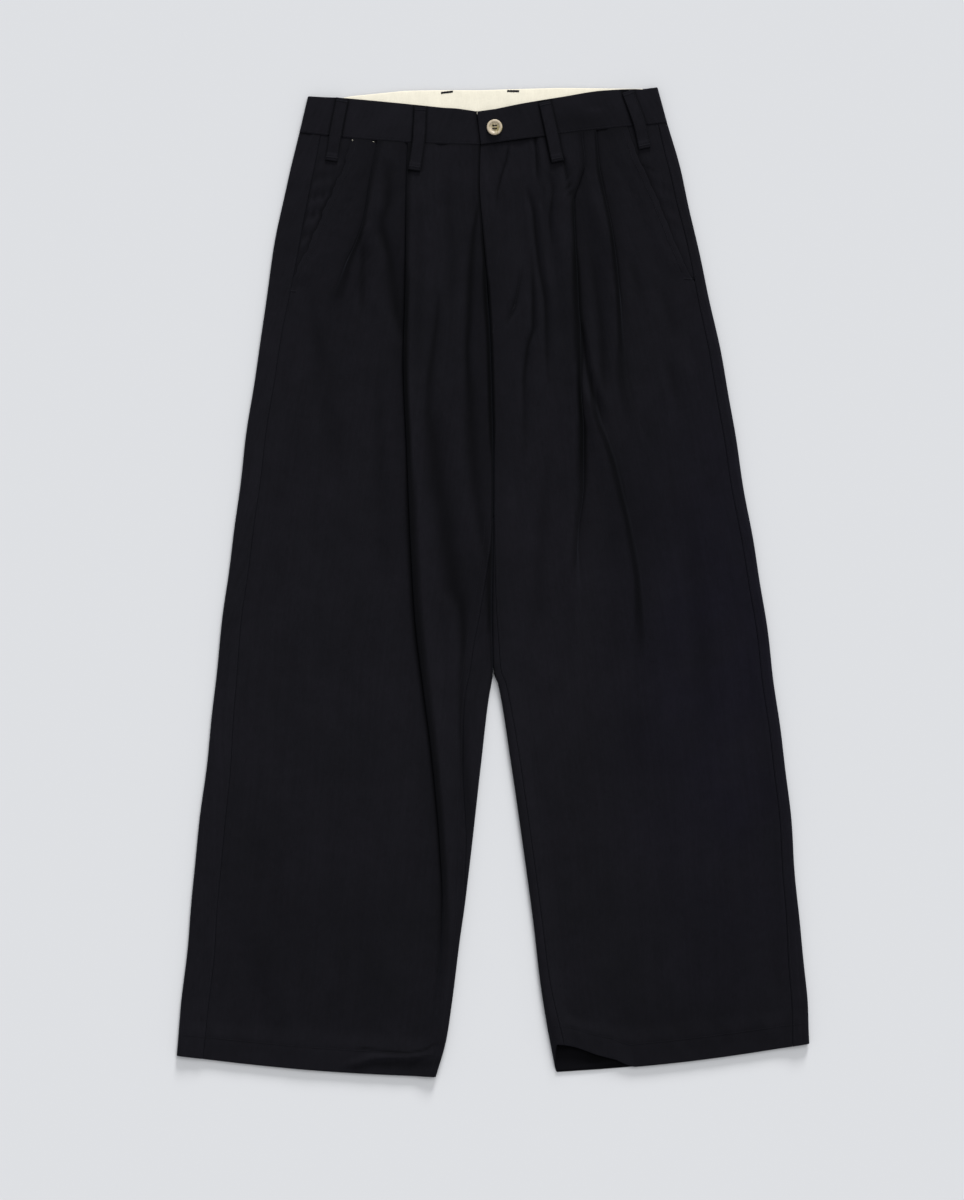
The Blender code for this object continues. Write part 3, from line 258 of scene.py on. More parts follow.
LEFT_SECTIONS = table(Section, (0, 195.6, -13.8, 10.5, 0, 2.3, 1.5, 21),
    (0.04, 207.6, -14.8, 13, 0, 3, 1, 20), (0.08, 217.4, -12.2, 12.5, 0, 3.2, 0.6, 18),
    (0.12, 227.1, -8.6, 11.5, 0, 3.4, 0.3, 16), (0.17, 238.8, -5.2, 12, 0, 3.4, 0, 13),
    (0.22, 249.2, -2.6, 12.8, 0, 3.2, 0, 9), (0.28, 261.3, -0.9, 13.5, 0, 3, 0, 4),
    (0.34, 272.5, 0.4, 13.5, 0, 2.8, 0, 0), (0.42, 286.2, 0, 13.2, 3, 2.4, 0, 0),
    (0.5, 299.5, -1.4, 12.8, 6.5, 2, 0, 0), (0.545, 307, -0.6, 12.7, 8.9, 1.7, 0, 0),
    (0.568, 310.6, 0.3, 12.6, 9.7, 1.6, 0, 0), (0.576, 311.8, 4, 12.6, 9.9, 1.5, 0, 0),
    (0.584, 312.9, 6.2, 12.6, 10, 1.5, 0, 0), (0.66, 323, 19, 12.8, 11.5, 1.2, 0, 0),
    (0.75, 333.5, 32.6, 13.2, 11.5, 1, 0, 0), (0.84, 341.9, 45.3, 14, 11, 0.8, 0, 0),
    (0.92, 349.9, 54.8, 17.5, 12, 0.6, -1.2, 0), (0.96, 352.9, 60.9, 18.3, 12, 0.5, -2.8, 0),
    (1, 355.2, 68.6, 19, 12, 0.4, -4.6, 0))

# Where the rows start and end, up the garment
Ends = namedtuple("Ends", "outer_top outer_hem inner_top inner_hem")
RIGHT_ENDS = Ends(504.3, -531.7, 490.3, -555.6)
LEFT_ENDS = Ends(515.1, -518.2, 490.3, -550.8)

# The radius of the roll at both edges, and how far the front's inner edge turns
# down into the crevice at the centre, down the leg
Roll = namedtuple("Roll", "share radius turn_down")
ROLLS = table(Roll, (0, 1.8, 0), (0.05, 2.1, 0), (0.118, 2.6, 5), (0.16, 2.8, 50), (0.2, 3, 84), (1, 3, 84))
LAP_HOLD = 0.085
LAP_END = 0.118
LAP_FADE = 0.03
CROTCH_SHARE = 0.355
CLOSED_SHARE = 0.400
LEAST_BEND = 0.02
print("rows of sizes:", len(RIGHT_SECTIONS), "and", len(LEFT_SECTIONS))

# %% [markdown]
# A pleat is sewn down at the waist and opens towards the knee. Here it is a true
# fold: the cloth turns back over itself, runs a little way, and turns forward
# again. Down the leg the turn falls from 180 degrees to nothing, which leaves the
# soft trough that an opened pleat has. Each fold has its own table, because in the
# photograph no two open alike.

# %% Pleats
# A fold that has opened out keeps this small turn and this length of arc
LEAST_TURN = 1.0
LEAST_ARC = 2.0
# A fold's upper layer stays level this far past the fold, and falls over at least this
FOLD_LEVEL = 0.6
LEAST_SETTLE = 2.0

# A fold's row: its place (y up, x), the angle it turns back by (180 is a flat
# pleat), the length it runs back, the radius of its two turns, and how far the
# upper layer takes to come down again
Fold = namedtuple("Fold", "y x turn run radius settle")

RIGHT_FOLDS = (
    table(Fold, (497, -128, 180, 20, 0.65, 12), (454, -136.5, 180, 15, 0.65, 16),
          (406, -144, 166, 5.5, 0.9, 22), (382, -152, 116, 2, 1.15, 26), (360, -161.5, 74, 2, 1.4, 28),
          (336, -169.5, 36, 2.4, 1.8, 30), (312, -179, 10, 3, 2.4, 30), (285, -185, 2, 4, 3, 30),
          (182, -197, 0, 4, 3, 30), (-545, -228, 0, 4, 3, 30)),
    table(Fold, (495, -94.5, 180, 20, 0.65, 14), (457, -96, 180, 18, 0.65, 16),
          (396, -96.5, 176, 13, 0.75, 20), (330, -96.8, 163, 6, 0.95, 24), (250, -98.8, 142, 2, 1.15, 26),
          (147, -94.8, 125, 1.2, 1.25, 28), (40, -90.5, 115, 1, 1.25, 28), (-43, -85.5, 111, 1, 1.28, 27),
          (-115, -77, 108, 1, 1.3, 26), (-190, -67.5, 105, 1, 1.2, 24), (-300, -57.8, 100, 1, 1.1, 16),
          (-357, -55, 92, 1, 1, 12), (-414, -56, 62, 1.2, 1, 10), (-470, -63, 24, 1.8, 1.4, 9),
          (-504, -70.5, 8, 2, 1.6, 9), (-525, -75, 2, 2, 2, 9), (-556, -80, 0, 2, 2, 9)),
)
LEFT_FOLDS = (
    table(Fold, (506, 114.5, 180, 12, 0.65, 12), (465, 118.5, 180, 11, 0.65, 14),
          (433, 124.6, 175, 9, 0.75, 20), (398, 131.8, 156, 5, 0.95, 24), (357, 137.4, 118, 2.4, 1.05, 26),
          (317, 140.8, 78, 1.6, 1.3, 28), (276, 142.8, 48, 1.8, 1.5, 30), (234, 145, 24, 3, 2.2, 30),
          (182, 157, 10, 4, 3, 30), (120, 182, 0, 4, 3, 30), (-40, 214, 0, 4, 3, 30),
          (-542, 248, 0, 4, 3, 30)),
    table(Fold, (500, 106, 0, 3, 2, 8), (300, 108, 0, 4, 2, 12), (235, 109.5, 8, 4, 2, 14),
          (204, 112, 36, 2.5, 1.8, 18), (182, 117, 42, 2.3, 1.7, 20), (160, 126, 46, 2.2, 1.7, 22),
          (136, 134.3, 48, 2, 1.8, 24), (92, 145, 46, 2.1, 1.8, 25), (47, 154.5, 40, 2.2, 1.8, 26),
          (2, 161.5, 28, 2.5, 2, 26), (-58, 164.5, 8, 4, 3, 26), (-120, 167, 0, 4, 3, 26),
          (-542, 195, 0, 4, 3, 26)),
    table(Fold, (500, 99, 180, 16, 0.65, 14), (471, 102, 180, 15.5, 0.65, 14),
          (450, 96.5, 180, 14, 0.65, 18), (427, 89.6, 177, 13, 0.7, 20), (385, 91, 171, 10, 0.85, 22),
          (344, 93.3, 160, 5, 0.95, 24), (306, 94.8, 150, 3, 1.05, 25), (276, 97, 142, 1.8, 1.15, 26),
          (222, 97.2, 132, 1.6, 1.15, 28), (165, 100.2, 121, 1.4, 1.2, 28), (110, 100, 106, 1.4, 1.3, 28),
          (56, 94, 88, 1.5, 1.3, 28), (18, 92, 50, 3, 1.8, 30), (-43, 92, 10, 4, 3, 30),
          (-110, 93, 0, 4, 3, 30), (-546, 120, 0, 4, 3, 30)),
)
print("pleats:", len(RIGHT_FOLDS) + len(LEFT_FOLDS))

# %% [markdown]
# The pocket mouths and the waistband have tables of their own. A pocket mouth is a
# slanted line. The band is given by its corners, and its top edge sways a little off
# the straight line between them, more at the back than at the front.

# %% The pocket mouths and the band
# The slanted pocket mouths: y up, x
Mouth = namedtuple("Mouth", "y x")
RIGHT_MOUTH = table(Mouth, (511, -153.5), (497, -158.5), (465, -168), (430, -184), (384, -203.5),
                    (344, -223), (320, -234))
LEFT_MOUTH = table(Mouth, (520, 147.5), (511, 150.5), (481, 160.5), (452, 174), (422, 187.5), (387, 201.5),
                   (352, 217), (320, 234))

# The band: its corners at the seam and at the top edge, with the bow of each line
Band = namedtuple("Band", "outer_x outer_y front_x front_y front_bow back_x back_y back_bow")
RIGHT_BAND = (Band(-217.5, 504.3, -13.8, 490.3, -3.2, -14.6, 511.3, -3.2),
              Band(-207.9, 545.1, -18.3, 527.9, 1.0, -14.6, 552.4, 2.6))
LEFT_BAND = (Band(195.6, 515.1, -13.8, 490.3, 1.5, -14.6, 511.3, 1.5),
             Band(184.6, 555.4, -18.3, 527.3, 3.6, -14.6, 552.4, 1.2))

# How the top edges sway off those lines: the distance from the outer edge, and the height
Sway = namedtuple("Sway", "s rise")
SWAYS = {
    ("right", "front"): table(Sway, (0, 0), (18, 0.3), (37, 1), (60, 0.8), (120, 0.4), (150, 0.3),
                              (167, 1), (180, 0.6), (190, 0)),
    ("right", "back"): table(Sway, (0, 0), (18, -3), (37, -4.4), (48, -3.2), (68, -2.3), (88, -1.3),
                             (108, 0)),
    ("left", "front"): table(Sway, (0, 0), (8, -1), (14, -1.4), (25, -0.2), (44, 1), (68, 1.7), (109, 0.2),
                             (140, 0), (169, -0.6), (180, -0.9), (190, -1.3), (203, -0.2)),
    ("left", "back"): table(Sway, (0, 0), (8, -0.6), (14, -1.5), (35, -1.4), (68, -0.9), (109, 0)),
}
print("lines of the band's top edge:", len(SWAYS))

# %% [markdown]
# On the band sit the cream facing, four belt loops in front, two behind, and the
# button. The loops under the back lift the waist a little off the floor, and the left
# hem is pulled up at its inner corner, as the photograph shows.

# %% The facing, the loops, the hem's pull and the button
# The cream facing inside the back of the band
FACING_LEFT_X = 168.0
FACING_RIGHT_X = -172.0
FACING_DEPTH = 33.0

# The front belt loops: where the middle of each crosses the top edge and the seam,
# and where it ends
Loop = namedtuple("Loop", "name side top_x top_y seam_x seam_y end_x end_y")
FRONT_LOOPS = table(
    Loop, ("belt_loop_right_side", "right", -168.9, 542.4, -177.6, 496.8, -181.4, 472),
    ("belt_loop_right_front", "right", -81.6, 532.9, -83.2, 499, -88.4, 461.2),
    ("belt_loop_left_front", "left", 57.9, 538.6, 64.4, 510, 72.5, 471),
    ("belt_loop_left_side", "left", 151.1, 550.4, 165.2, 510.3, 170.3, 486))
LOOP_MARGIN = 0.5
SEAM_ABOVE = 3.0
SEAM_BELOW = 4.0
BACK_LOOPS = {"belt_loop_back_right": -51.7, "belt_loop_back_left": 22.5}
BACK_LOOP_TOP = 551.5
BACK_LOOP_END = 482.0
LOOP_CLEARANCE = 0.5

# How much the garment is lifted by the belt loops under the back of the waist
LOOP_LIFT = BACK_LOOP_WALL + GAP
LIFT_HOLD = 0.035
LIFT_END = 0.110

# The left front's hem is pulled up at its inner corner
HEM_PULL = 32.5
HEM_PULL_PLACES = (0, 14, 30, 46, 62, 70, 78, 90)
HEM_PULL_SHAPE = (1.0, 0.93, 0.77, 0.55, 0.38, 0.30, 0.16, 0.0)
HEM_PULL_START = 0.88
HEM_PULL_RISE = 3.0

# The button
BUTTON_X = 1.7
BUTTON_Y = 509.5
BUTTON_RADIUS = 8.7
BUTTON_HEIGHT = 3.2
BUTTON_HOLE_RADIUS = 0.95
BUTTON_HOLE_OFFSET = 1.75
print("belt loops:", len(FRONT_LOOPS) + len(BACK_LOOPS))

# %% [markdown]
# Layers that lie under the front raise it, with a soft slope down off each one: the
# layers inside the fly, the tucked edge of the pocket's facing, the doubled hem. Only
# by the waist seam does the front dip instead, under its pleats, because the band
# lies level over them.

# %% How layers raise the cloth
# How far down the leg the dip goes, how deep it is, and how far round a pleat
DIP_END = 0.07
DIP_DEPTH = 0.78
DIP_BEFORE = 5.0
DIP_DOWN = 4.5
DIP_AFTER = 2.0
DIP_SLOPE = 8.0

# The layers inside the fly raise the front beside its edge, and the two edges lap
FLY_RISE = 1.2
FLY_WIDTH = 46.0
FLY_SLOPE = 18.0
FLY_HOLD = 0.10
FLY_FADE = 0.08
LEVEL_WIDTH = 18.0
LEVEL_SLOPE = 10.0

# The front comes down off the tucked edge of the pocket facing
TUCK_LEVEL = 3.0
TUCK_SLOPE = 12.0

# The front's hem rises on the doubled hem of the back over this share
HEM_STEP = 0.02

# How closely places are worked out
PLACE_STEPS = 4
SHARE_STEPS = 6
SLOPE_STEP = 0.2

# A stretch of a path takes at most this share of the room it has
TUCK_ROOM = 0.3
BESIDE_ROOM = 0.6
SHELF_ROOM = 0.4
DOWN_ROOM = 0.75

# How far before the roll and before the seam their fine steps begin
ROLL_LEAD = 3.0
SEAM_LEAD = 1.5
print("height of two layers of cloth:", PITCH + CLOTH, "mm")

# %% [markdown]
# Cloth that has been laid out by hand keeps soft creases. In the photograph most of
# them run down from the waist between the pleats, each with its own length, and
# they fade before the knee. Each is a short table of places with a depth and a half
# width. A depth above zero is a trough with a low ridge on both sides, and one
# below zero is a ridge. They are given in the garment's own sizes.

# %% Creases
Crease = namedtuple("Crease", "y x depth width")
RIGHT_CREASES = (
    table(Crease, (475, -118.5, 0, 7), (460, -118, 1.4, 8), (440, -117.5, 1.7, 9), (425, -118.5, 2, 8),
          (401, -125, 1.8, 9), (384, -121.5, 2.3, 8), (367, -117, 2.3, 8.5), (334, -112, 1.9, 12),
          (310, -109, 2.1, 11), (285, -104, 1.6, 9), (265, -101, 0, 8)),
    table(Crease, (388, -146, 0, 4), (365, -146, 2, 4.5), (330, -147.5, 1.8, 6), (292, -146, 0, 7)),
    table(Crease, (328, -61, 0, 3), (290, -63.5, 1.8, 5), (261, -67.4, 1.8, 6), (216, -72.7, 1.9, 7),
          (190, -73.5, 1.9, 9), (171, -70, 1.9, 15), (126, -65, 2, 19), (81, -56, 2, 20),
          (36, -49.5, 2.1, 20), (-9, -42, 2.1, 19), (-30, -34.5, 2.3, 11), (-60, -33, 2.3, 8),
          (-100, -35, 1.4, 7), (-155, -36, 1.8, 6), (-200, -33, 1.8, 7), (-250, -29.5, 1.2, 9),
          (-300, -27, 0, 9)),
    table(Crease, (430, -15.5, 0, 2.4), (415, -18, 2, 3.5), (384, -22.5, 2.4, 6), (339, -25.3, 2.5, 8),
          (294, -27, 2.6, 7.5), (260, -29, 2.7, 6.5), (227, -27.4, 2.7, 8.5), (205, -26.3, 2.4, 12),
          (148, -23.6, 1.9, 13.5), (115, -19.6, 1.7, 13), (81, -15.5, 1.6, 11), (36, -8, 1.2, 8),
          (10, -4, 0, 6)),
    table(Crease, (440, -84, 0, 7), (380, -82, 0.8, 9), (300, -84, 0.9, 10), (215, -86, 0, 10)),
    table(Crease, (470, -52, 0, 9), (420, -50, 0.9, 11), (350, -46, 0.6, 12), (300, -47, 0, 12)),
    table(Crease, (330, -205, 0, 10), (270, -196, 0.9, 14), (190, -182, 0.7, 18), (90, -172, 0, 20)),
    table(Crease, (250, -130, 0, 9), (190, -128, 1, 13), (100, -124, 0.9, 16), (-20, -118, 0, 20)),
    table(Crease, (-230, -296, 0, 12), (-330, -286, -1.1, 16), (-430, -252, -1.4, 18),
          (-530, -215, -0.4, 20)),
    table(Crease, (-120, -140, 0, 18), (-240, -132, -0.9, 24), (-380, -128, -0.7, 26), (-500, -120, 0, 26)),
)
LEFT_CREASES = (
    table(Crease, (505, 46.5, 1.6, 2.5), (470, 49, 2.8, 2.8), (440, 50.5, 0, 3)),
    table(Crease, (446, 36.8, 0, 3.4), (413, 45.6, 2.4, 3.8), (384, 48.3, 3, 4.2), (352, 52.4, 3, 4.4),
          (309, 59.1, 2.6, 4.6), (249, 60.7, 1.5, 5), (205, 64, 0, 5)),
    table(Crease, (380, 42.7, 0, 3.5), (330, 45, 2, 4), (287, 45, 3, 4.4), (263, 38.9, 3, 4.6),
          (222, 34.8, 2, 5), (165, 36, 1, 6), (125, 34.8, 0, 6)),
    table(Crease, (460, 61.8, 0, 3), (438, 67.4, 2.2, 3.2), (406, 64, 2.2, 3.6), (368, 68.6, 0, 4)),
    table(Crease, (477, 78, 0, 3), (470, 79.5, 2.2, 3.2), (459, 82, 2.6, 3.2), (440, 86, 2.6, 3.2),
          (424, 88.5, 0, 3)),
    table(Crease, (292, 99, 0, 3), (272, 101.5, 2.2, 3.2), (242, 105.5, 3, 4), (216, 111, 3.2, 5),
          (196, 118, 2.2, 5), (168, 126, 0, 5)),
    table(Crease, (385, 105, 0, 6), (320, 117, 1.4, 8), (260, 123, 1.8, 8), (196, 125, 0, 8)),
    table(Crease, (370, 156, 0, 7), (338, 161, 1.1, 8), (305, 167, 0, 9)),
    table(Crease, (335, 187, 0, 8), (300, 198, 1, 9), (262, 210, 0, 10)),
    table(Crease, (262, 192, 0, 8), (222, 204, 1, 9), (182, 214, 0, 10)),
    table(Crease, (490, 17, 0.4, 2.2), (478, 15.6, 2, 2.2), (452, 8.5, 2.4, 2.6), (433, 4.5, 1.6, 2.8),
          (412, 3.2, 0, 3)),
    table(Crease, (352, 30.8, 0, 3.5), (330, 28.1, 1.6, 4.2), (303, 21.4, 2.4, 5), (286, 11.9, 0, 5)),
    table(Crease, (150, 62, 0, 9), (90, 58, 0.9, 12), (0, 52, 0.8, 15), (-90, 50, 0, 16)),
    table(Crease, (110, 214, 0, 14), (20, 226, 0.9, 20), (-90, 236, 0.7, 24), (-200, 242, 0, 26)),
    table(Crease, (-130, 120, 0, 16), (-250, 132, -1, 22), (-390, 150, -0.9, 26), (-520, 170, 0, 26)),
    table(Crease, (-260, 300, 0, 14), (-360, 286, -1.1, 18), (-450, 262, -1, 20), (-535, 240, 0, 22)),
)

# The ridges beside a trough: their share of its depth, and place and width in half widths
RIDGE_SHARE = 0.22
RIDGE_PLACE = 1.9
RIDGE_WIDTH = 0.8
SOFT_FLOOR = 0.35
print("creases:", len(RIGHT_CREASES) + len(LEFT_CREASES))

# %% [markdown]
# Seams are what make sewn cloth look sewn. The side seam is pressed towards the
# back, so its allowance shows as a low step outside the seam, and the hem's stitch
# line draws a shallow groove. The long edges waver a little, since no leg is laid
# down quite straight.

# %% Seams, hem and edges
# The side seam's step: its height, its width, its slope outside and inside
SEAM_RISE = 0.55
SEAM_BAND = 11.0
SEAM_SOFT = 2.5
SEAM_EDGE = 0.9

# The hem's groove and the slanted ripples above it
GROOVE_DEPTH = 0.35
GROOVE_WIDTH = 1.8
HEM_RIPPLE = 0.55
HEM_RIPPLE_LENGTH = 37.0
HEM_RIPPLE_SLANT = 0.8
HEM_RIPPLE_REACH = 0.030
HEM_RIPPLE_SECOND, HEM_RIPPLE_SHARE = 1.7, 0.5

# How closely the legs meet above the crotch, and how the long edges waver
CENTRE_JOIN = 0.25
JOIN_END = 0.5615
JOIN_FADE = 0.012
WAVER = 0.7
WAVER_TURNS = (4.3, 9.7)
WAVER_SECOND = 0.6
WAVER_FADES = (0.1, 0.06)

# Puckers across the inseam
PUCKER = 0.8
PUCKER_LENGTHS = (17.0, 9.3)
PUCKER_PLACE = 9.0
PUCKER_WIDTH = 8.0
PUCKER_SHARES = (0.56, 0.88)
PUCKER_FADE = 0.06
PUCKER_SLANT = 0.05
PUCKER_MIX = (0.6, 0.4)

# Ripples of the pocket's facing, the wavering mouth, and how far the left mouth gapes
FACING_RIPPLE = 1.2
FACING_RIPPLE_LENGTH = 9.0
MOUTH_WAVER = 0.8
MOUTH_WAVES = (31.0, 12.7)
MOUTH_PHASE, MOUTH_SECOND = 0.6, 0.7
MOUTH_START = 0.02
GAPE = 0.9
GAPE_Y = 465.0
GAPE_LENGTH = 40.0
GAPE_WIDTH = 7.0

# A crumple along the right leg's hem: x, height, half width up the leg
Crumple = namedtuple("Crumple", "x y rise width")
CRUMPLE_START = 14.0
HEM_CRUMPLE = table(Crumple, (-172, -544, 0.0, 3.0), (-158, -541, 2.4, 3.2), (-132, -533.5, 3.2, 3.6),
                    (-95, -532.5, 3.2, 3.6), (-66, -530, 2.4, 3.4))

# All about a leg. Besides its tables: lap is how far its front laps over the other one at
# the fly, and level how much higher or lower it lies there. pull and gape say how far
# the hem is pulled up and the pocket stands open. ripple, crumple and pucker say how
# strong the facing's, the hem's and the inseam's are, strip how much paler the strip
# outside the side seam is, and phase where the waves begin.
LEGS = {
    "right": SimpleNamespace(sections=RIGHT_SECTIONS, ends=RIGHT_ENDS, folds=RIGHT_FOLDS,
                             mouth=RIGHT_MOUTH, band=RIGHT_BAND, creases=RIGHT_CREASES,
                             lap=FLY_LAP, level=-0.5 * PITCH, pull=0.0, gape=0.0,
                             ripple=1.0, crumple=1.0, strip=0.06, pucker=0.0, phase=0.4),
    "left": SimpleNamespace(sections=LEFT_SECTIONS, ends=LEFT_ENDS, folds=LEFT_FOLDS,
                            mouth=LEFT_MOUTH, band=LEFT_BAND, creases=LEFT_CREASES,
                            lap=0.0, level=0.5 * PITCH, pull=HEM_PULL, gape=GAPE,
                            ripple=0.4, crumple=0.0, strip=0.0, pucker=1.0, phase=2.1),
}
print("legs:", *LEGS)

# %% [markdown]
# `leg_row` gathers all that is known about a leg at some share of its length. A
# place on a row is its distance from the outer edge, called s. Everything after
# this asks the row, and since a row may hold hundreds of shares at once, one call
# answers for the whole leg.

# %% A row of a leg
def waver(share, phase):
    """Two slow sine waves down the leg, which die away at its ends."""
    first, second = WAVER_TURNS
    wave = np.sin(2.0 * np.pi * (first * share + phase))
    wave = wave + WAVER_SECOND * np.sin(2.0 * np.pi * (second * share - phase))
    top, bottom = WAVER_FADES
    return WAVER * wave * ease(share / top) * ease((1.0 - share) / bottom)


def leg_row(side, share):
    """Everything about a leg at the given shares of its length."""
    leg = LEGS[side]
    row = SimpleNamespace(leg=leg, share=share)
    for name in Section._fields[1:]:
        setattr(row, name, column(leg.sections, name, share))
    way = np.sign(leg.sections[0].inner_x - leg.sections[0].outer_x)
    row.outer_x = row.outer_x + waver(share, leg.phase)
    row.outer_y = leg.ends.outer_top + (leg.ends.outer_hem - leg.ends.outer_top) * share
    inner_y = leg.ends.inner_top + (leg.ends.inner_hem - leg.ends.inner_top) * share
    joined = 1.0 - ease((share - JOIN_END) / JOIN_FADE)
    across = row.inner_x - way * (0.5 * GAP - CENTRE_JOIN * joined) - row.outer_x
    row.width = np.hypot(across, inner_y - row.outer_y)
    row.along_x = across / row.width
    row.along_y = (inner_y - row.outer_y) / row.width
    row.radius, turn_down = columns(ROLLS, "radius turn_down", share)
    row.turn_down = np.radians(turn_down)
    row.floor = LOOP_LIFT * (1.0 - ease((share - LIFT_HOLD) / (LIFT_END - LIFT_HOLD)))
    row.hem = ease((share - HEM_SHARE + HEM_STEP) / HEM_STEP)
    row.extra = np.where(share >= HEM_SHARE, HEM_TURN, 0.0)
    row.crest = row.floor + HALF + 2.0 * row.radius
    row.edge = row.radius + HALF
    row.inner = row.width - row.edge
    row.folds = [fold_shape(row, lines) for lines in leg.folds]
    row.creases = [crease_shape(row, lines) for lines in leg.creases]
    row.seam = row.side_seam + 0.5 * GAP
    down = share * LEG_LENGTH
    long_wave, short_wave = MOUTH_WAVES
    wave = sine(down, long_wave, MOUTH_PHASE) + MOUTH_SECOND * sine(down, short_wave)
    mouth = place_on(row, leg.mouth) + leg.ripple * MOUTH_WAVER * wave * ease(share / MOUTH_START)
    row.start = np.where(share <= MOUTH_END, np.maximum(mouth, row.seam), row.seam)
    row.open = 1.0 - ease((share - FACING_END) / (MOUTH_END - FACING_END))
    return row


def height_on(row, s):
    """How far up the garment (y) the place s of a row lies."""
    share_across = np.clip(s / row.width, 0.0, 1.0)
    return row.outer_y + s * row.along_y + row.bow * np.sin(np.pi * share_across)


def place_on(row, lines):
    """Where a line given as (y, x) crosses a row, as a distance from the outer edge."""
    s = 0.5 * row.width
    for _ in range(PLACE_STEPS):
        x = column(lines, "x", height_on(row, s))
        s = (x - row.outer_x) / row.along_x
    return s


def fold_shape(row, lines):
    """Size of one fold at a row.

    edge is where the visible fold lies and root is where the lower layer turns.
    Turning by an angle, running and turning forward again raises the cloth by
    2 R (1 - cos) + run sin and moves it on by 2 R sin + run cos."""
    edge = place_on(row, lines)
    turn, run, radius, settle = columns(lines, "turn run radius settle", height_on(row, edge))
    turn = np.radians(np.maximum(turn, LEAST_TURN))
    radius = np.maximum(radius, LEAST_ARC / turn)
    rise = 2.0 * radius * (1.0 - np.cos(turn)) + run * np.sin(turn)
    root = edge - 2.0 * radius * np.sin(turn) - run * np.cos(turn)
    fall = np.maximum(root, edge) + radius + FOLD_LEVEL
    last = np.maximum(row.inner - LEAST_SETTLE, fall + LEAST_SETTLE)
    settle = np.minimum(settle, last - fall)
    return SimpleNamespace(edge=edge, root=root, turn=turn, run=run, radius=radius,
                           rise=rise, fall=fall, settle=settle)


def crease_shape(row, lines):
    """Place, depth and half width of one crease at a row."""
    place = place_on(row, lines)
    depth, width = columns(lines, "depth width", height_on(row, place))
    return SimpleNamespace(place=place, depth=depth, width=width)


halfway = leg_row("right", np.array([[0.5]]))
halfway_s = 0.5 * halfway.width
print("width halfway down the right leg:", round(halfway.width.item(), 1), "mm")

# %% [markdown]
# The front's height is a sum of gentle shapes: how high it stands off the back, a
# bead where it rolls over at each edge, the step over the pocket's facing and the
# fly's layers, the creases, and after each fold the height that the fold adds. The
# creases are kept from cutting into the back by a soft floor: where the sum would
# fall below it, it levels out instead.

# %% The height of the front
def crease_height(row, s):
    """Sum of all creases: a bell curve down, with a lower one up on both sides."""
    z = 0.0 * s
    for crease in row.creases:
        away = np.abs(s - crease.place) / crease.width
        ridge = RIDGE_SHARE * hump((away - RIDGE_PLACE) / RIDGE_WIDTH)
        z = z - crease.depth * (hump(away) - ridge)
    return z


def hem_height(row, s):
    """The groove of the hem's stitch line, and the slanted ripples that it draws up."""
    up = (HEM_SHARE - row.share) * LEG_LENGTH
    groove = GROOVE_DEPTH * hump(up / GROOVE_WIDTH)
    slant = 2.0 * np.pi * (s - HEM_RIPPLE_SLANT * up) / HEM_RIPPLE_LENGTH
    near = hump(up / (HEM_RIPPLE_REACH * LEG_LENGTH))
    inside = ease(s / SIDE_BEAD) * ease((row.width - s) / SIDE_BEAD)
    wave = np.sin(slant) + HEM_RIPPLE_SHARE * np.sin(HEM_RIPPLE_SECOND * slant + 1.0)
    z = 0.5 * HEM_RIPPLE * (1.0 + wave / (1.0 + HEM_RIPPLE_SHARE)) * near * inside - groove
    x = row.outer_x + s * row.along_x
    middle, rise, width = columns(HEM_CRUMPLE, "y rise width", x)
    rise = rise * ease((x - HEM_CRUMPLE[0].x) / CRUMPLE_START)
    return z + row.leg.crumple * rise * hump((height_on(row, s) - middle) / width)


def pucker_height(row, s):
    """Short ripples across the inseam, where its stitches draw the cloth up."""
    down = row.share * LEG_LENGTH
    first, second = PUCKER_LENGTHS
    most, least = PUCKER_MIX
    wave = most * sine(down, first, PUCKER_SLANT * s) + least * sine(down, second)
    near = hump((row.width - s - PUCKER_PLACE) / PUCKER_WIDTH)
    start, end = PUCKER_SHARES
    free = ease((row.share - start) / PUCKER_FADE) * ease((end - row.share) / PUCKER_FADE)
    return row.leg.pucker * PUCKER * wave * near * free


def ground(row, s):
    """Height of the front's middle surface without its folds."""
    contact = row.floor + 1.5 * CLOTH + GAP + 2.0 * HEM_TURN * row.hem
    outer = bell((s - row.edge) / SIDE_BEAD)
    inner = bell((row.inner - s) / INNER_BEAD)
    between = (1.0 - outer) * (1.0 - inner)
    beads = outer + inner - outer * inner
    relief = crease_height(row, s) + hem_height(row, s) + pucker_height(row, s)
    shaped = row.loft * between + relief * (1.0 - beads)
    above = 0.5 * (shaped + np.sqrt(shaped * shaped + SOFT_FLOOR * SOFT_FLOOR))
    z = contact + above + (row.crest - contact) * beads
    inside = ease((s - row.seam + SEAM_EDGE) / SEAM_EDGE)
    step = ease((s - row.seam + SEAM_BAND) / SEAM_SOFT) * (1.0 - inside)
    z = z + SEAM_RISE * step
    deepest = 0.0 * s
    for fold in row.folds:
        flat = np.clip((fold.root - fold.edge) / DIP_BEFORE, 0.0, 1.0)
        before = ease((s - fold.edge + DIP_BEFORE) / DIP_DOWN)
        after = ease((s - fold.root - DIP_AFTER) / DIP_SLOPE)
        deepest = np.maximum(deepest, flat * before * (1.0 - after))
    z = z - DIP_DEPTH * (1.0 - ease(row.share / DIP_END)) * deepest
    fly = 1.0 - ease((row.share - FLY_HOLD) / FLY_FADE)
    lapped = 1.0 - ease((row.share - LAP_END) / LAP_FADE)
    by_fly = ease((s - row.width + FLY_WIDTH) / FLY_SLOPE)
    by_edge = ease((s - row.width + LEVEL_WIDTH) / LEVEL_SLOPE)
    return z + FLY_RISE * fly * by_fly + row.leg.level * lapped * by_edge


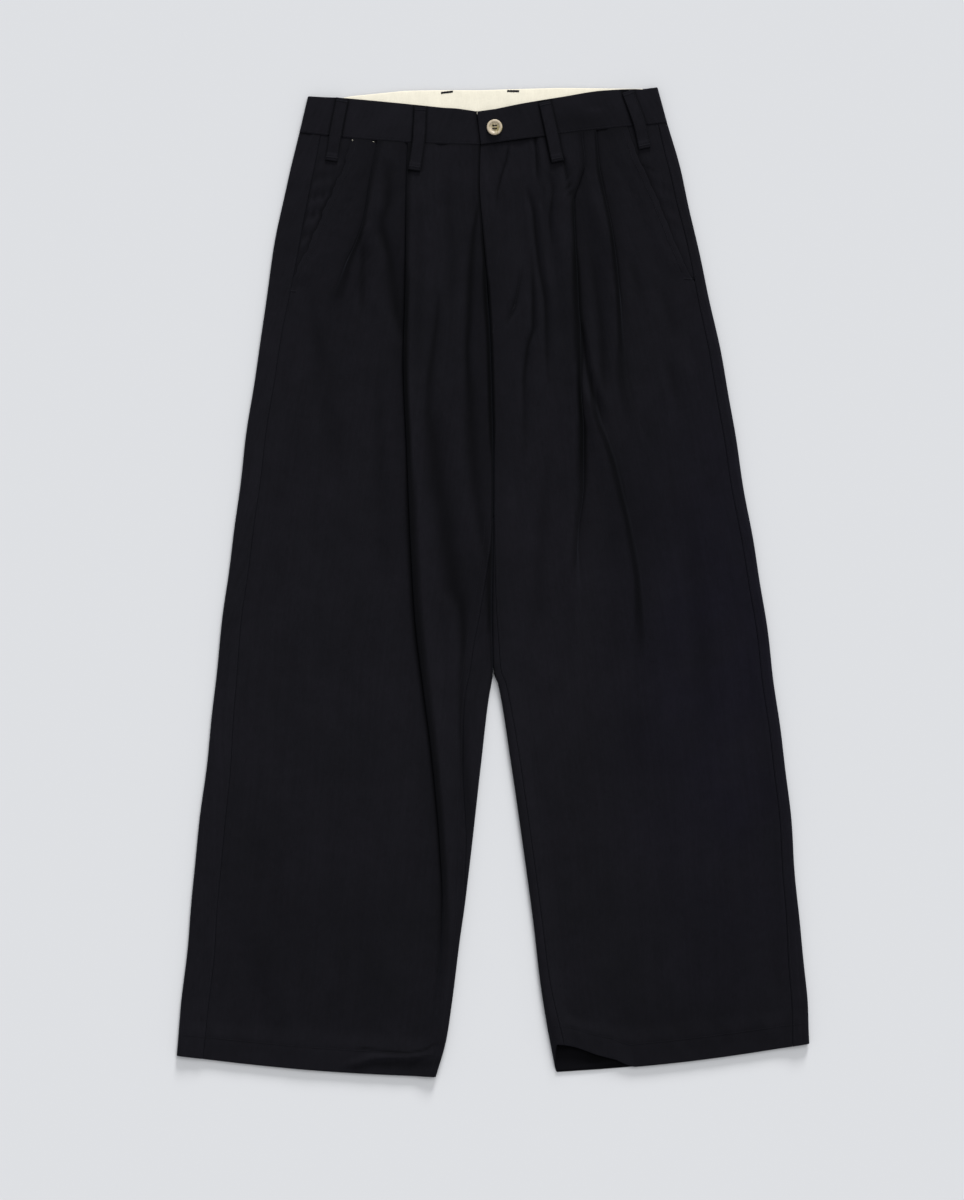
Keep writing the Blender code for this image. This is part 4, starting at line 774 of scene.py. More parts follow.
def pocket_rise(row, s):
    """The front stands one layer higher where it lies over the pocket facing."""
    past = s - row.start - POCKET_TUCK - TUCK_LEVEL
    gaping = bell(np.abs(height_on(row, row.start) - GAPE_Y) / GAPE_LENGTH)
    gape = row.leg.gape * gaping * hump((s - row.start) / GAPE_WIDTH)
    return (PITCH * bell(past / TUCK_SLOPE) + gape) * row.open


def layer(row, s, count):
    """Height of the front after the first count folds, at the places s."""
    z = ground(row, s) + pocket_rise(row, s)
    for fold in row.folds[:count]:
        z = z + fold.rise * bell((s - fold.fall) / fold.settle)
    return z


def laid_on(surface, s):
    """Path points on a height function: place, height, and heading by a central difference."""
    slope = (surface(s + SLOPE_STEP) - surface(s - SLOPE_STEP)) / (2.0 * SLOPE_STEP)
    return s, surface(s), np.arctan(slope)


print("height in the middle of that row:", round(ground(halfway, halfway_s).item(), 2), "mm")

# %% [markdown]
# A panel's path is put together from stretches: plain cloth, then each fold as an
# arc back, a straight run and an arc forward, and at the end the roll at the inner
# edge. Each stretch gets its own number of steps, so that the tight turns are
# smooth and the plain cloth isn't wasteful. Where a panel ends, three extra points
# come closer and closer together: with them its edge is rounded, as folded cloth is.

# %% Stretches of a path
STEPS = SimpleNamespace(tuck=3, beside=3, shelf=3, down=8, turn=8, run=4, roll=12,
                        seam=3, floor=6, outside=14, facing=34)
PLAIN_STEPS = {"right": (26, 34, 52), "left": (23, 11, 18, 50)}
ROUND = np.radians([76.0, 52.0, 26.0])
ROUND_IN = 1.0 - np.sin(ROUND)
ROUND_THIN = np.cos(ROUND)


def spread(start, end, parts, first=False):
    """Places from start to end in even parts, without the start unless asked."""
    shares = np.linspace(0.0, 1.0, parts + 1)
    if not first:
        shares = shares[1:]
    return start + (end - start) * shares


def rounded_line(start, end, count, half):
    """Even places from start to end, with three more at each end for a rounded edge."""
    return np.concatenate([start + half * ROUND_IN, np.linspace(start + half, end - half, count),
                           end - half * ROUND_IN[::-1]])


def on_top(row, s, count):
    """Path points on the front face: place, height and heading."""
    return laid_on(lambda place: layer(row, place, count), s)


def fold_points(row, index):
    """Path points of one fold: an arc back, a straight run, and an arc forward.

    The second arc is the first one seen upside down."""
    fold = row.folds[index]
    up = fold.turn * np.linspace(0.0, 1.0, STEPS.turn + 1)
    ran = np.linspace(0.0, 1.0, STEPS.run + 1)[1:]
    down = up[:, ::-1][:, 1:]
    angle = np.concatenate([up, fold.turn + 0.0 * ran, down], axis=1)
    turned_by = fold.radius * np.sin(fold.turn)
    turned_up = fold.radius * (1.0 - np.cos(fold.turn))
    ran_by = fold.run * np.cos(fold.turn)
    ran_up = fold.run * np.sin(fold.turn)
    across = np.concatenate([
        fold.radius * np.sin(up),
        turned_by + ran_by * ran,
        2.0 * turned_by + ran_by - fold.radius * np.sin(down)], axis=1)
    height = np.concatenate([
        fold.radius * (1.0 - np.cos(up)),
        turned_up + ran_up * ran,
        2.0 * turned_up + ran_up - fold.radius * (1.0 - np.cos(down))], axis=1)
    s, z, heading = on_top(row, fold.root + across, index)
    return s, z + height, angle + heading


print("points round one fold:", fold_points(halfway, 0)[0].shape[1])

# %% [markdown]
# The front's path starts at the pocket mouth, or at the side seam below it, and takes
# in every fold on its way. At the inner edge it turns down into the crevice between
# the legs, laps over the other front at the fly, or goes round the roll to the inseam.

# %% The front's path
def front_end(row):
    """How far the front runs past the place where the inner roll starts.

    Below the crotch it runs to the inseam. Above it, it turns down into the
    crevice, or at the fly goes straight on as far as the edges lap."""
    quarter = 0.5 * np.pi * row.radius
    lap = row.leg.lap * (1.0 - ease((row.share - LAP_HOLD) / (LAP_END - LAP_HOLD)))
    flat = (1.0 - np.sin(row.turn_down)) * (row.edge + lap)
    above = row.radius * row.turn_down + flat
    below = quarter - 0.5 * GAP - row.inseam
    return np.where(row.share < CLOSED_SHARE, above, below)


def around_inner(row, walked):
    """Path points at a distance walked past the start of the inner roll.

    Before it, the path is on the front face. Then it is an arc, as far as the
    roll turns, and then straight in the direction that the arc ends in."""
    most = np.where(row.share < CLOSED_SHARE, row.turn_down, np.pi)
    before = np.minimum(walked, 0.0)
    on_arc = np.clip(walked, 0.0, row.radius * most)
    angle = on_arc / row.radius
    past = np.maximum(walked - on_arc, 0.0)
    s = row.inner + before + row.radius * np.sin(angle) + past * np.cos(angle)
    fallen = row.radius * (1.0 - np.cos(angle)) + past * np.sin(angle)
    _, z, heading = on_top(row, row.inner + before, len(row.folds))
    return s, z - fallen, np.where(walked < 0.0, heading, -angle)


def front_path(row, plain):
    """The whole path of a front, from its outer edge to its inner edge.

    A stretch that has less room than it wants takes a share of the room instead."""
    first_root = row.folds[0].root
    room = first_root - row.start
    tuck_end = row.start + np.minimum(POCKET_TUCK + TUCK_LEVEL, TUCK_ROOM * room)
    beside = row.start + np.minimum(POCKET_TUCK + TUCK_LEVEL + TUCK_SLOPE, BESIDE_ROOM * room)
    pieces = [on_top(row, row.start + HALF * ROUND_IN, 0),
              on_top(row, spread(row.start + HALF, tuck_end, STEPS.tuck, first=True), 0),
              on_top(row, spread(tuck_end, beside, STEPS.beside), 0),
              on_top(row, spread(beside, first_root, plain[0])[:, :-1], 0)]
    end = front_end(row)
    roll_start = np.minimum(0.0, end) - ROLL_LEAD
    for index, fold in enumerate(row.folds):
        pieces.append(fold_points(row, index))
        if index + 1 < len(row.folds):
            goal = row.folds[index + 1].root
        else:
            goal = row.inner + roll_start
        room = goal - fold.edge
        shelf = np.minimum(fold.fall, fold.edge + SHELF_ROOM * room)
        down = np.minimum(fold.fall + fold.settle, fold.edge + DOWN_ROOM * room)
        count = index + 1
        pieces.append(on_top(row, spread(fold.edge, shelf, STEPS.shelf), count))
        pieces.append(on_top(row, spread(shelf, down, STEPS.down), count))
        pieces.append(on_top(row, spread(down, goal, plain[count])[:, :-1], count))
    rolled = np.concatenate([spread(roll_start, end - HALF, STEPS.roll, first=True),
                             end - HALF * ROUND_IN[::-1]], axis=1)
    pieces.append(around_inner(row, rolled))
    return [np.concatenate(values, axis=1) for values in zip(*pieces)]


print("points across the right front:", front_path(halfway, PLAIN_STEPS["right"])[0].shape[1])

# %% [markdown]
# The back's path meets the front's at the inseam, goes round under the roll, along
# the floor, up round the outer roll, and comes to the side seam from outside. The
# last function sets a path into space. It also lifts the left hem's inner corner.

# %% The back's path and a path in space
def back_path(row):
    """The whole path of a back, from the inseam round underneath to the side seam.

    Returns the place, the height, the heading and how far underneath each point is."""
    closing = ease((row.share - CROTCH_SHARE) / (CLOSED_SHARE - CROTCH_SHARE))
    bend = np.maximum(closing, LEAST_BEND) / row.radius
    upper = np.arcsin(np.minimum(bend * row.radius, 1.0)) / bend
    upper = upper + (HALF + CENTRE_JOIN) * (1.0 - closing)
    lower = np.pi * row.radius - front_end(row) - GAP
    reach = np.where(row.share < CLOSED_SHARE, upper, lower)
    arc_end = np.minimum(np.pi * row.radius, reach - SEAM_LEAD)
    walked = np.concatenate([reach - HALF * ROUND_IN,
                             spread(reach - HALF, arc_end, STEPS.seam, first=True),
                             spread(arc_end, 0.0 * reach, STEPS.roll)], axis=1)
    on_arc = np.minimum(walked, np.pi * row.radius)
    beyond = walked - on_arc
    s = row.inner + np.sin(bend * on_arc) / bend - beyond
    base = row.floor + HALF
    _, z, heading = on_top(row, s, len(row.folds))
    z = np.where(beyond > 0.0, z, base + (1.0 - np.cos(bend * on_arc)) / bend)
    heading = np.where(beyond > 0.0, heading, bend * on_arc - np.pi)
    pieces = [(s, z, heading, 0.5 + 0.5 * np.cos(bend * on_arc))]
    flat = spread(row.inner, row.edge, STEPS.floor)
    pieces.append((flat, base + 0.0 * flat, -np.pi + 0.0 * flat, 1.0 + 0.0 * flat))
    theta = spread(0.0, np.pi, STEPS.roll) + 0.0 * row.edge
    pieces.append((row.edge - row.radius * np.sin(theta),
                   base + row.radius * (1.0 - np.cos(theta)), -np.pi - theta,
                   0.5 + 0.5 * np.cos(theta)))
    end = row.side_seam - 0.5 * GAP
    top = np.concatenate([spread(row.edge, end - HALF, STEPS.outside),
                          end - HALF * ROUND_IN[::-1]], axis=1)
    pieces.append((*laid_on(lambda place: ground(row, place), top), 0.0 * top))
    return [np.concatenate(values, axis=1) for values in zip(*pieces)]


def to_space(row, s, z, heading, offset, underneath):
    """Points of a wall's face: the path moved out along its normal, in space."""
    s = s - offset * np.sin(heading)
    z = z + offset * np.cos(heading)
    x = row.outer_x + s * row.along_x
    across = np.maximum((s - row.edge) / (row.width - row.edge), 0.0)
    y = height_on(row, s) + row.back_rise * across * underneath
    pulled = through(HEM_PULL_PLACES, HEM_PULL_SHAPE, row.width - s)
    pulled = pulled * ease((row.share - HEM_PULL_START) / (1.0 - HEM_PULL_START))
    pulled = pulled * (1.0 - underneath) * (row.leg.pull / HEM_PULL)
    return xyz(x, y + HEM_PULL * pulled, z + HEM_PULL_RISE * pulled)


print("points across the right back:", back_path(halfway)[0].shape[1])

# %% [markdown]
# A wall is two grids of points, one for each face of the cloth, joined by a rim
# round their edges, so it is always closed. It also carries a UV map in metres: how
# far across the cloth and how far down it each point lies. The weave is drawn in
# that map, so it follows every fold as the threads of real cloth do.

# %% From grids to a closed wall
def grid_faces(rows, columns, first=0):
    """Four corners of every square of a grid that is numbered row by row."""
    index = first + np.arange(rows * columns).reshape(rows, columns)
    corners = (index[:-1, :-1], index[:-1, 1:], index[1:, 1:], index[1:, :-1])
    return np.stack(corners, axis=-1).reshape(-1, 4)


def rim_of(rows, columns):
    """The grid's outline, once round."""
    index = np.arange(rows * columns).reshape(rows, columns)
    return np.concatenate([index[0, :-1], index[:-1, -1], index[-1, :0:-1], index[:0:-1, 0]])


def enclosed(points, faces):
    """Six times the volume inside closed faces: a sum of a . (b x c) over triangles."""
    a, b, c, d = (points[faces[:, k]] for k in range(4))
    return np.sum(a * np.cross(b, c)) + np.sum(a * np.cross(c, d))


def mesh_object(name, points, faces, uv, painted_shade):
    """An object of four-cornered faces, from points in millimetres.

    The last argument is the painted shade at each point: the share of light that the material takes away,
    and below 0 painted light."""
    mesh = bpy.data.meshes.new(name)
    mesh.vertices.add(len(points))
    mesh.vertices.foreach_set("co", (points * MM).astype(np.float32).ravel())
    mesh.loops.add(faces.size)
    mesh.loops.foreach_set("vertex_index", faces.astype(np.int32).ravel())
    mesh.polygons.add(len(faces))
    mesh.polygons.foreach_set("loop_start", np.arange(0, faces.size, 4, dtype=np.int32))
    mesh.polygons.foreach_set("use_smooth", np.ones(len(faces), dtype=bool))
    corners = mesh.uv_layers.new(name="cloth").data
    corners.foreach_set("uv", (uv[faces.ravel()] * MM).astype(np.float32).ravel())
    values = mesh.attributes.new("painted_shade", "FLOAT", "POINT").data
    values.foreach_set("value", painted_shade.astype(np.float32).ravel())
    mesh.update(calc_edges=True)
    mesh.validate()
    item = bpy.data.objects.new(name, mesh)
    bpy.context.scene.collection.objects.link(item)
    return item


def xyz(x, y, z):
    """Points from their three coordinates."""
    return np.stack(np.broadcast_arrays(x, y, z), axis=-1)


def wall(name, outer, inner, across, down, painted_shade, inside=None):
    """A closed wall between two grids of points, with a UV map in metres.

    The painted shade is given for the outer face, and inside gives it for the inner one, if that differs."""
    rows, columns = outer.shape[:2]
    points = np.concatenate([outer.reshape(-1, 3), inner.reshape(-1, 3)])
    top = grid_faces(rows, columns)
    under = grid_faces(rows, columns, rows * columns)[:, ::-1]
    rim = rim_of(rows, columns)
    after = np.roll(rim, -1)
    side = np.stack([after, rim, rim + rows * columns, after + rows * columns], axis=-1)
    faces = np.concatenate([top, under, side])
    if enclosed(points, faces) < 0.0:
        faces = faces[:, ::-1]
    inside = painted_shade if inside is None else inside
    values = xyz(across, down, outer[..., 0])[..., :2].reshape(-1, 2)
    face_shades = xyz(painted_shade, inside, outer[..., 0]).reshape(-1, 3)
    return mesh_object(name, points, faces, np.concatenate([values, values]),
                       np.concatenate([face_shades[:, 0], face_shades[:, 1]]))


print("squares in a grid of 3 by 4 points:", len(grid_faces(3, 4)))

# %% [markdown]
# A finished wall is hung under the garment's root, and the solid that it replaces
# is hidden.

# %% A piece of cloth
def length_along(points, axis):
    """Distance walked along a grid of points in one of its two directions."""
    steps = np.linalg.norm(np.diff(points, axis=axis), axis=-1)
    start = np.zeros_like(np.take(steps, [0], axis=axis))
    return np.concatenate([start, np.cumsum(steps, axis=axis)], axis=axis)


def cloth_piece(name, faces, across, down, painted_shade, inside=None):
    """A piece of cloth from its middle, outer and inner face, hung under the garment's root in place of its
    solid, which is hidden."""
    middle, outer, inner = faces
    piece = wall(name + "_cloth", outer, inner, across, down, painted_shade, inside)
    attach(piece, "root")
    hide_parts(name)
    return piece


# %% [markdown]
# The rows of the big panels lie close together at the waist, where the pleats and
# creases are, wider down the plain leg, and close again at the hem. The same rows
# serve the front and the back, so the two meet along every seam.

# %% Rows
def rows_of(parts):
    """Shares of the leg from stretches of (end, step in millimetres)."""
    shares = [0.0]
    for end, step in parts:
        count = max(1, int(round((end - shares[-1]) * LEG_LENGTH / step)))
        shares.extend(np.linspace(shares[-1], end, count + 1)[1:])
    return np.array(shares)


HALF_SHARE = HALF / LEG_LENGTH
WAIST_RISE = 0.3
ROW_STRETCHES = ((FACING_END, 2.9), (MOUTH_END, 2.6), (0.30, 3.1), (CLOSED_SHARE - 0.002, 4.2),
                 (CLOSED_SHARE, 2.0), (0.55, 6.0), (0.94, 10.5), (HEM_SHARE - 0.0012, 2.6),
                 (HEM_SHARE, 1.0), (1.0 - HALF_SHARE, 2.6))
MIDDLE_ROWS = rows_of(ROW_STRETCHES)
WAIST_ROWS = HALF_SHARE * ROUND_IN - WAIST_RISE / LEG_LENGTH
ROWS = np.concatenate([WAIST_ROWS, MIDDLE_ROWS[MIDDLE_ROWS >= HALF_SHARE],
                       1.0 - HALF_SHARE * ROUND_IN[::-1]])
ROW_THIN = np.ones(len(ROWS))
ROW_THIN[:3] = ROUND_THIN
ROW_THIN[-3:] = ROUND_THIN[::-1]


def column_thin(count):
    """Share of the full thickness at each column: thin at both rounded edges."""
    thin = np.ones(count)
    thin[:3] = ROUND_THIN
    thin[-3:] = ROUND_THIN[::-1]
    return thin


print("rows:", len(ROWS))

# %% [markdown]
# Hardly any light reaches the bottom of a narrow fold, and black cloth bounces none
# back into it. A render with few samples and a soft dome shows that too weakly, so
# each point also gets a number of painted shade. It is worked out from the same
# tables as the shape: beside a pleat's edge, in a crease, and in the crevice between
# the legs. More painted shade lies beside the belt loops, under the waist seam, across
# the crumpled hem, low and high on the legs and in wide soft patches, and in a few
# patches it is painted light instead. The material darkens the cloth by it.

# %% Shades of the hollows
# Painted shade: the soft share beside folds and the crevice and its reach, the share in creases, the share
# of a crease's width that it covers, the crease depth that gives it in full, the even shade on the inner
# face, and where a flat-topped bell ends
HOLLOW_SOFT = 0.25
HOLLOW_REACH = 16.0
HOLLOW_CREASE = 0.68
CREASE_CORE = 0.6
HOLLOW_DEPTH = 2.6
INSIDE_SHADE = 0.80
SHADE_END = 9.0

# A trace of shade low down and high up the leg: how much, from which share, how softly
LOW_SHADE, LOW_START, LOW_SOFT = 0.10, 0.6, 0.25
HIGH_SHADE, HIGH_START, HIGH_SOFT = 0.07, 0.32, 0.2

# Shade beside the belt loops and under the waist seam
LOOP_SHADE = 0.74
LOOP_SHADE_REACH = 1.7
LOOP_RIM = 1.0
SEAM_SHADE = 0.64
SEAM_SHADE_REACH = 1.2

# How far a hollow's shade reaches and how deep it is: for each fold at heights up
# the garment, and for the crevice between the legs at shares of their length
Shade = namedtuple("Shade", "at reach depth")
FOLD_SHADES = {
    "right": (
        table(Shade, (489, 1.4, 0.45), (452, 2, 0.58), (415, 2, 0.62), (385, 3.1, 0.74), (362, 4.6, 0.6),
              (328, 7, 0.4), (305, 8, 0.1), (290, 8, 0)),
        table(Shade, (497, 1.2, 0.55), (459, 1.8, 0.55), (384, 2.3, 0.66), (317, 3.1, 0.8),
              (227, 3.1, 0.94), (160, 3, 0.86), (137, 3.8, 0.76), (92, 6.4, 0.74), (-43, 6.5, 0.76),
              (-133, 6, 0.68), (-200, 5.2, 0.73), (-312, 4.8, 0.64), (-357, 5.5, 0.5), (-402, 7, 0.3),
              (-480, 6, 0)),
    ),
    "left": (
        table(Shade, (506, 1.3, 0.6), (474, 2.4, 0.62), (452, 3.2, 0.73), (429, 2.4, 0.77), (384, 3, 0.83),
              (350, 3.9, 0.72), (317, 3.4, 0.7), (272, 3.5, 0.64), (249, 6, 0.45), (205, 8, 0.3),
              (165, 8, 0)),
        table(Shade, (240, 2.3, 0), (227, 2.3, 0.5), (204, 3.3, 0.57), (182, 3.4, 0.62), (160, 4.5, 0.54),
              (137, 3.8, 0.66), (115, 5, 0.6), (70, 3.3, 0.66), (47, 4, 0.6), (2, 3.9, 0.62),
              (-20, 4.5, 0.6), (-65, 5.4, 0.35), (-95, 5, 0)),
        table(Shade, (506, 1.3, 0.45), (480, 1.4, 0.52), (450, 2.2, 0.52), (432, 2.4, 0.65),
              (418, 2.8, 0.86), (395, 3, 0.86), (373, 3.3, 0.92), (350, 4.9, 0.9), (306, 5.9, 0.8),
              (275, 6.4, 0.8), (255, 5.4, 0.8), (238, 3.6, 0.85), (216, 3, 0.94), (193, 3.3, 1),
              (171, 5.5, 0.92), (148, 5.7, 0.92), (126, 6, 0.75), (103, 4.9, 0.6), (81, 4.4, 0.47),
              (58, 4, 0.38), (36, 2.8, 0.4), (10, 3, 0)),
    ),
}
CREVICES = {
    "right": table(Shade, (0, 1.8, 0.6), (0.083, 2, 0.66), (0.1, 2.4, 0.85), (0.122, 2.6, 0.95),
          (0.137, 4, 0.96), (0.166, 5.2, 0.97), (0.209, 4, 1), (0.25, 4.2, 1), (0.295, 3.8, 0.98),
          (0.316, 3.5, 0.93), (0.338, 1.8, 0.86), (0.38, 1.6, 0.8), (0.43, 1.8, 0.78), (0.446, 4.2, 0.76),
          (0.468, 6.4, 0.72), (0.49, 5.4, 0.8), (0.51, 4.2, 0.8), (0.53, 2.4, 0.6), (0.55, 2, 0.7),
          (0.572, 1.6, 0.6), (0.585, 1.6, 0)),
    "left": table(Shade, (0, 0.8, 0), (0.06, 0.8, 0), (0.083, 0.8, 0.4), (0.137, 1, 0.7),
          (0.155, 2.4, 0.95), (0.3, 2.4, 0.95), (0.326, 1.2, 0.85), (0.34, 0.8, 0.7), (0.44, 0.8, 0.7),
          (0.453, 1.2, 0.78), (0.52, 1.2, 0.72), (0.568, 0.8, 0.5), (0.585, 0.8, 0)),
}

# Wide soft shades, where the cloth lies a little fuller or flatter; below zero is lighter
Tone = namedtuple("Tone", "x y across along depth")
TONES = table(Tone, (-62, 430, 30, 50, -0.12), (-120, 520, 60, 18, -0.12), (105, 515, 60, 16, 0.32),
              (114.7, 529.8, 9, 3, -0.35), (230, -505, 120, 40, 0.24), (-200, -380, 90, 90, 0.06),
              (-48, 0, 30, 70, 0.2), (165, 90, 50, 70, 0.2), (-8, 425, 3, 55, -0.14), (0, 487, 8, 12, 0.15),
              (-65, 188, 16, 90, 0.1), (252, -406, 50, 55, 0.12), (131, -204, 40, 60, 0.07),
              (-175, -473, 80, 35, 0.07), (154, -388, 18, 25, -0.06), (-258, -330, 25, 60, 0.07),
              (-254, -419, 26, 38, 0.16), (134, -66, 8, 48, 0.12), (164, -160, 16, 30, 0.1),
              (-95, -535, 30, 4, -0.12))
# Painted shade and light on the inner face, inside the left hem's opening; below zero is lighter
INSIDE_TONES = table(Tone, (72, -537, 10, 16, -1.2), (121, -534, 20, 7, 0.6), (118, -541.8, 30, 1.4, -1.2))

# Lines of shade across the crumpled hem: x, height, depth, reach
Across = namedtuple("Across", "x y depth reach")
HEM_LINES = (
    table(Across, (-157, -521, 0, 1.3), (-150, -521.5, 0.45, 1.3), (-138, -524.3, 0.6, 1.4),
          (-121, -526.5, 0.65, 1.6), (-95, -527.8, 0.75, 1.6), (-78, -525.2, 0.65, 1.6),
          (-66, -518, 0.4, 1.5)),
    table(Across, (-163, -551, 0, 3), (-147, -546, 0.3, 4), (-129, -542, 0.35, 5), (-104, -543, 0.4, 5),
          (-78, -541, 0.4, 5), (-65, -539, 0.35, 5)),
)
print("soft shades:", len(TONES))

# %% [markdown]
# Every hollow leaves a share of the light, and what is left of it all is their product.
# So two hollows that overlap never add up to more than black.

# %% How much painted shade
def loop_line(loop, y):
    """Where the middle of a belt loop lies across the garment, at heights y."""
    return through((loop.end_y, loop.seam_y, loop.top_y), (loop.end_x, loop.seam_x, loop.top_x), y)


def beside_loops(x, y):
    """1 beside a belt loop and below its end, falling to 0 as a bell curve."""
    near = 0.0 * x
    for loop in FRONT_LOOPS:
        sideways = np.abs(x - loop_line(loop, y)) - 0.5 * LOOP_WIDTH
        away = np.maximum(np.maximum(sideways, loop.end_y - y), 0.0)
        near = np.maximum(near, hump(away / LOOP_SHADE_REACH))
    return near


def shade_at(shades, at, away):
    """A bell curve with a flat top, depth times e to the power of -(away / reach) to the fourth."""
    reach, depth = columns(shades, "reach depth", at)
    return depth * np.exp(-np.minimum(np.abs(away) / reach, SHADE_END) ** 4), depth


def shade_line(line, x, y):
    """Depth of a line of shade that runs across the garment, by its distance up from it."""
    middle, depth, reach = columns(line, "y depth reach", x)
    return depth * hump((y - middle) / reach)


def broad_tone(x, y, tones=TONES):
    """What the wide soft shades leave of the light: the product of one less each bell."""
    left = 1.0 + 0.0 * (x + y)
    for tone in tones:
        near = hump((x - tone.x) / tone.across) * hump((y - tone.y) / tone.along)
        left = left * (1.0 - tone.depth * near)
    return left


def painted_shade_on(row, side, s):
    """Painted shade from 0 to 1: one less the product of the light that each painted shade leaves.

    Beside a pleat's edge and in the crevice, a flat-topped bell lies in a wide soft one."""
    y = height_on(row, s)
    x = row.outer_x + s * row.along_x
    left = 1.0 - LOW_SHADE * ease((row.share - LOW_START) / LOW_SOFT)
    left = left - HIGH_SHADE * ease((HIGH_START - row.share) / HIGH_SOFT)
    left = left * broad_tone(x, y) * (1.0 + row.leg.strip * (s < row.side_seam))
    for fold, shades in zip(row.folds, FOLD_SHADES[side]):
        away = fold.edge - s
        core, depth = shade_at(shades, height_on(row, fold.edge), away)
        soft = HOLLOW_SOFT * depth * hump(away / HOLLOW_REACH) * (away > 0.0)
        left = left * (1.0 - core) * (1.0 - soft)
    for crease in row.creases:
        away = (s - crease.place) / (CREASE_CORE * crease.width)
        depth = np.clip(crease.depth / HOLLOW_DEPTH, 0.0, 1.0)
        left = left * (1.0 - HOLLOW_CREASE * depth * hump(away))
    away = np.maximum(row.width - 1.0 - s, 0.0)
    core, depth = shade_at(CREVICES[side], row.share, away)
    left = left * (1.0 - core) * (1.0 - HOLLOW_SOFT * depth * hump(away / HOLLOW_REACH))
    left = left * (1.0 - SEAM_SHADE * np.exp(-row.share * LEG_LENGTH / SEAM_SHADE_REACH))
    for line in HEM_LINES:
        left = left * (1.0 - row.leg.crumple * shade_line(line, x, y))
    return 1.0 - left * (1.0 - LOOP_SHADE * beside_loops(x, y))


print("hollow at the inner edge of that row:",
      round(painted_shade_on(halfway, "right", halfway.width).item(), 2))

# %% [markdown]
# A front is one wall with all its pleats in it. The hem is turned up twice in the
# real garment, which makes the cloth there thicker on its inner side.

# %% Fronts and backs
def panel(name, row, s, z, heading, underneath, painted_shade):
    """A front or back from its path."""
    thin = ROW_THIN[:, None] * column_thin(s.shape[1])
    faces = [to_space(row, s, z, heading, offset, underneath)
             for offset in (0.0, HALF * thin, -(HALF + row.extra) * thin)]
    # The inner face gets an even painted shade, lighter and darker in places inside the left hem's opening
    inside = 1.0 - (1.0 - INSIDE_SHADE) * broad_tone(faces[0][..., 0], faces[0][..., 1], INSIDE_TONES)
    return cloth_piece(name, faces, length_along(faces[0], 1), row.share * LEG_LENGTH, painted_shade,
                       inside=inside)


def make_front(side):
    """A front panel, from the pocket mouth or the side seam to the inner edge."""
    row = leg_row(side, ROWS[:, None])
    s, z, heading = front_path(row, PLAIN_STEPS[side])
    angle = np.clip(-heading, 0.0, np.pi)
    closed = (s > row.inner) & (row.share >= CLOSED_SHARE)
    underneath = np.where(closed, 0.5 - 0.5 * np.cos(angle), 0.0)
    painted_shade = painted_shade_on(row, side, s) * (1.0 - underneath)
    return panel("front_" + side, row, s, z, heading, underneath, painted_shade)


def make_back(side):
    """A back panel, which lies on the floor and wraps round both edges of the leg."""
    row = leg_row(side, ROWS[:, None])
    s, z, heading, underneath = back_path(row)
    painted_shade = painted_shade_on(row, side, s) * (1.0 - underneath)
    return panel("back_" + side, row, s, z, heading, underneath, painted_shade)


navy_pieces = [make_front(side) for side in LEGS] + [make_back(side) for side in LEGS]

# %% [markdown]
# Every cloth here shows the same things in different measure: threads that cross in
# a twill, thick places in the yarn called slubs, and a slow unevenness where the
# dye took more or less. So one node group makes all three from the cloth's own UV
# map. It gives a colour factor, a roughness and a height, and the materials choose
# their own colours and scales. First comes a small class that builds such trees.

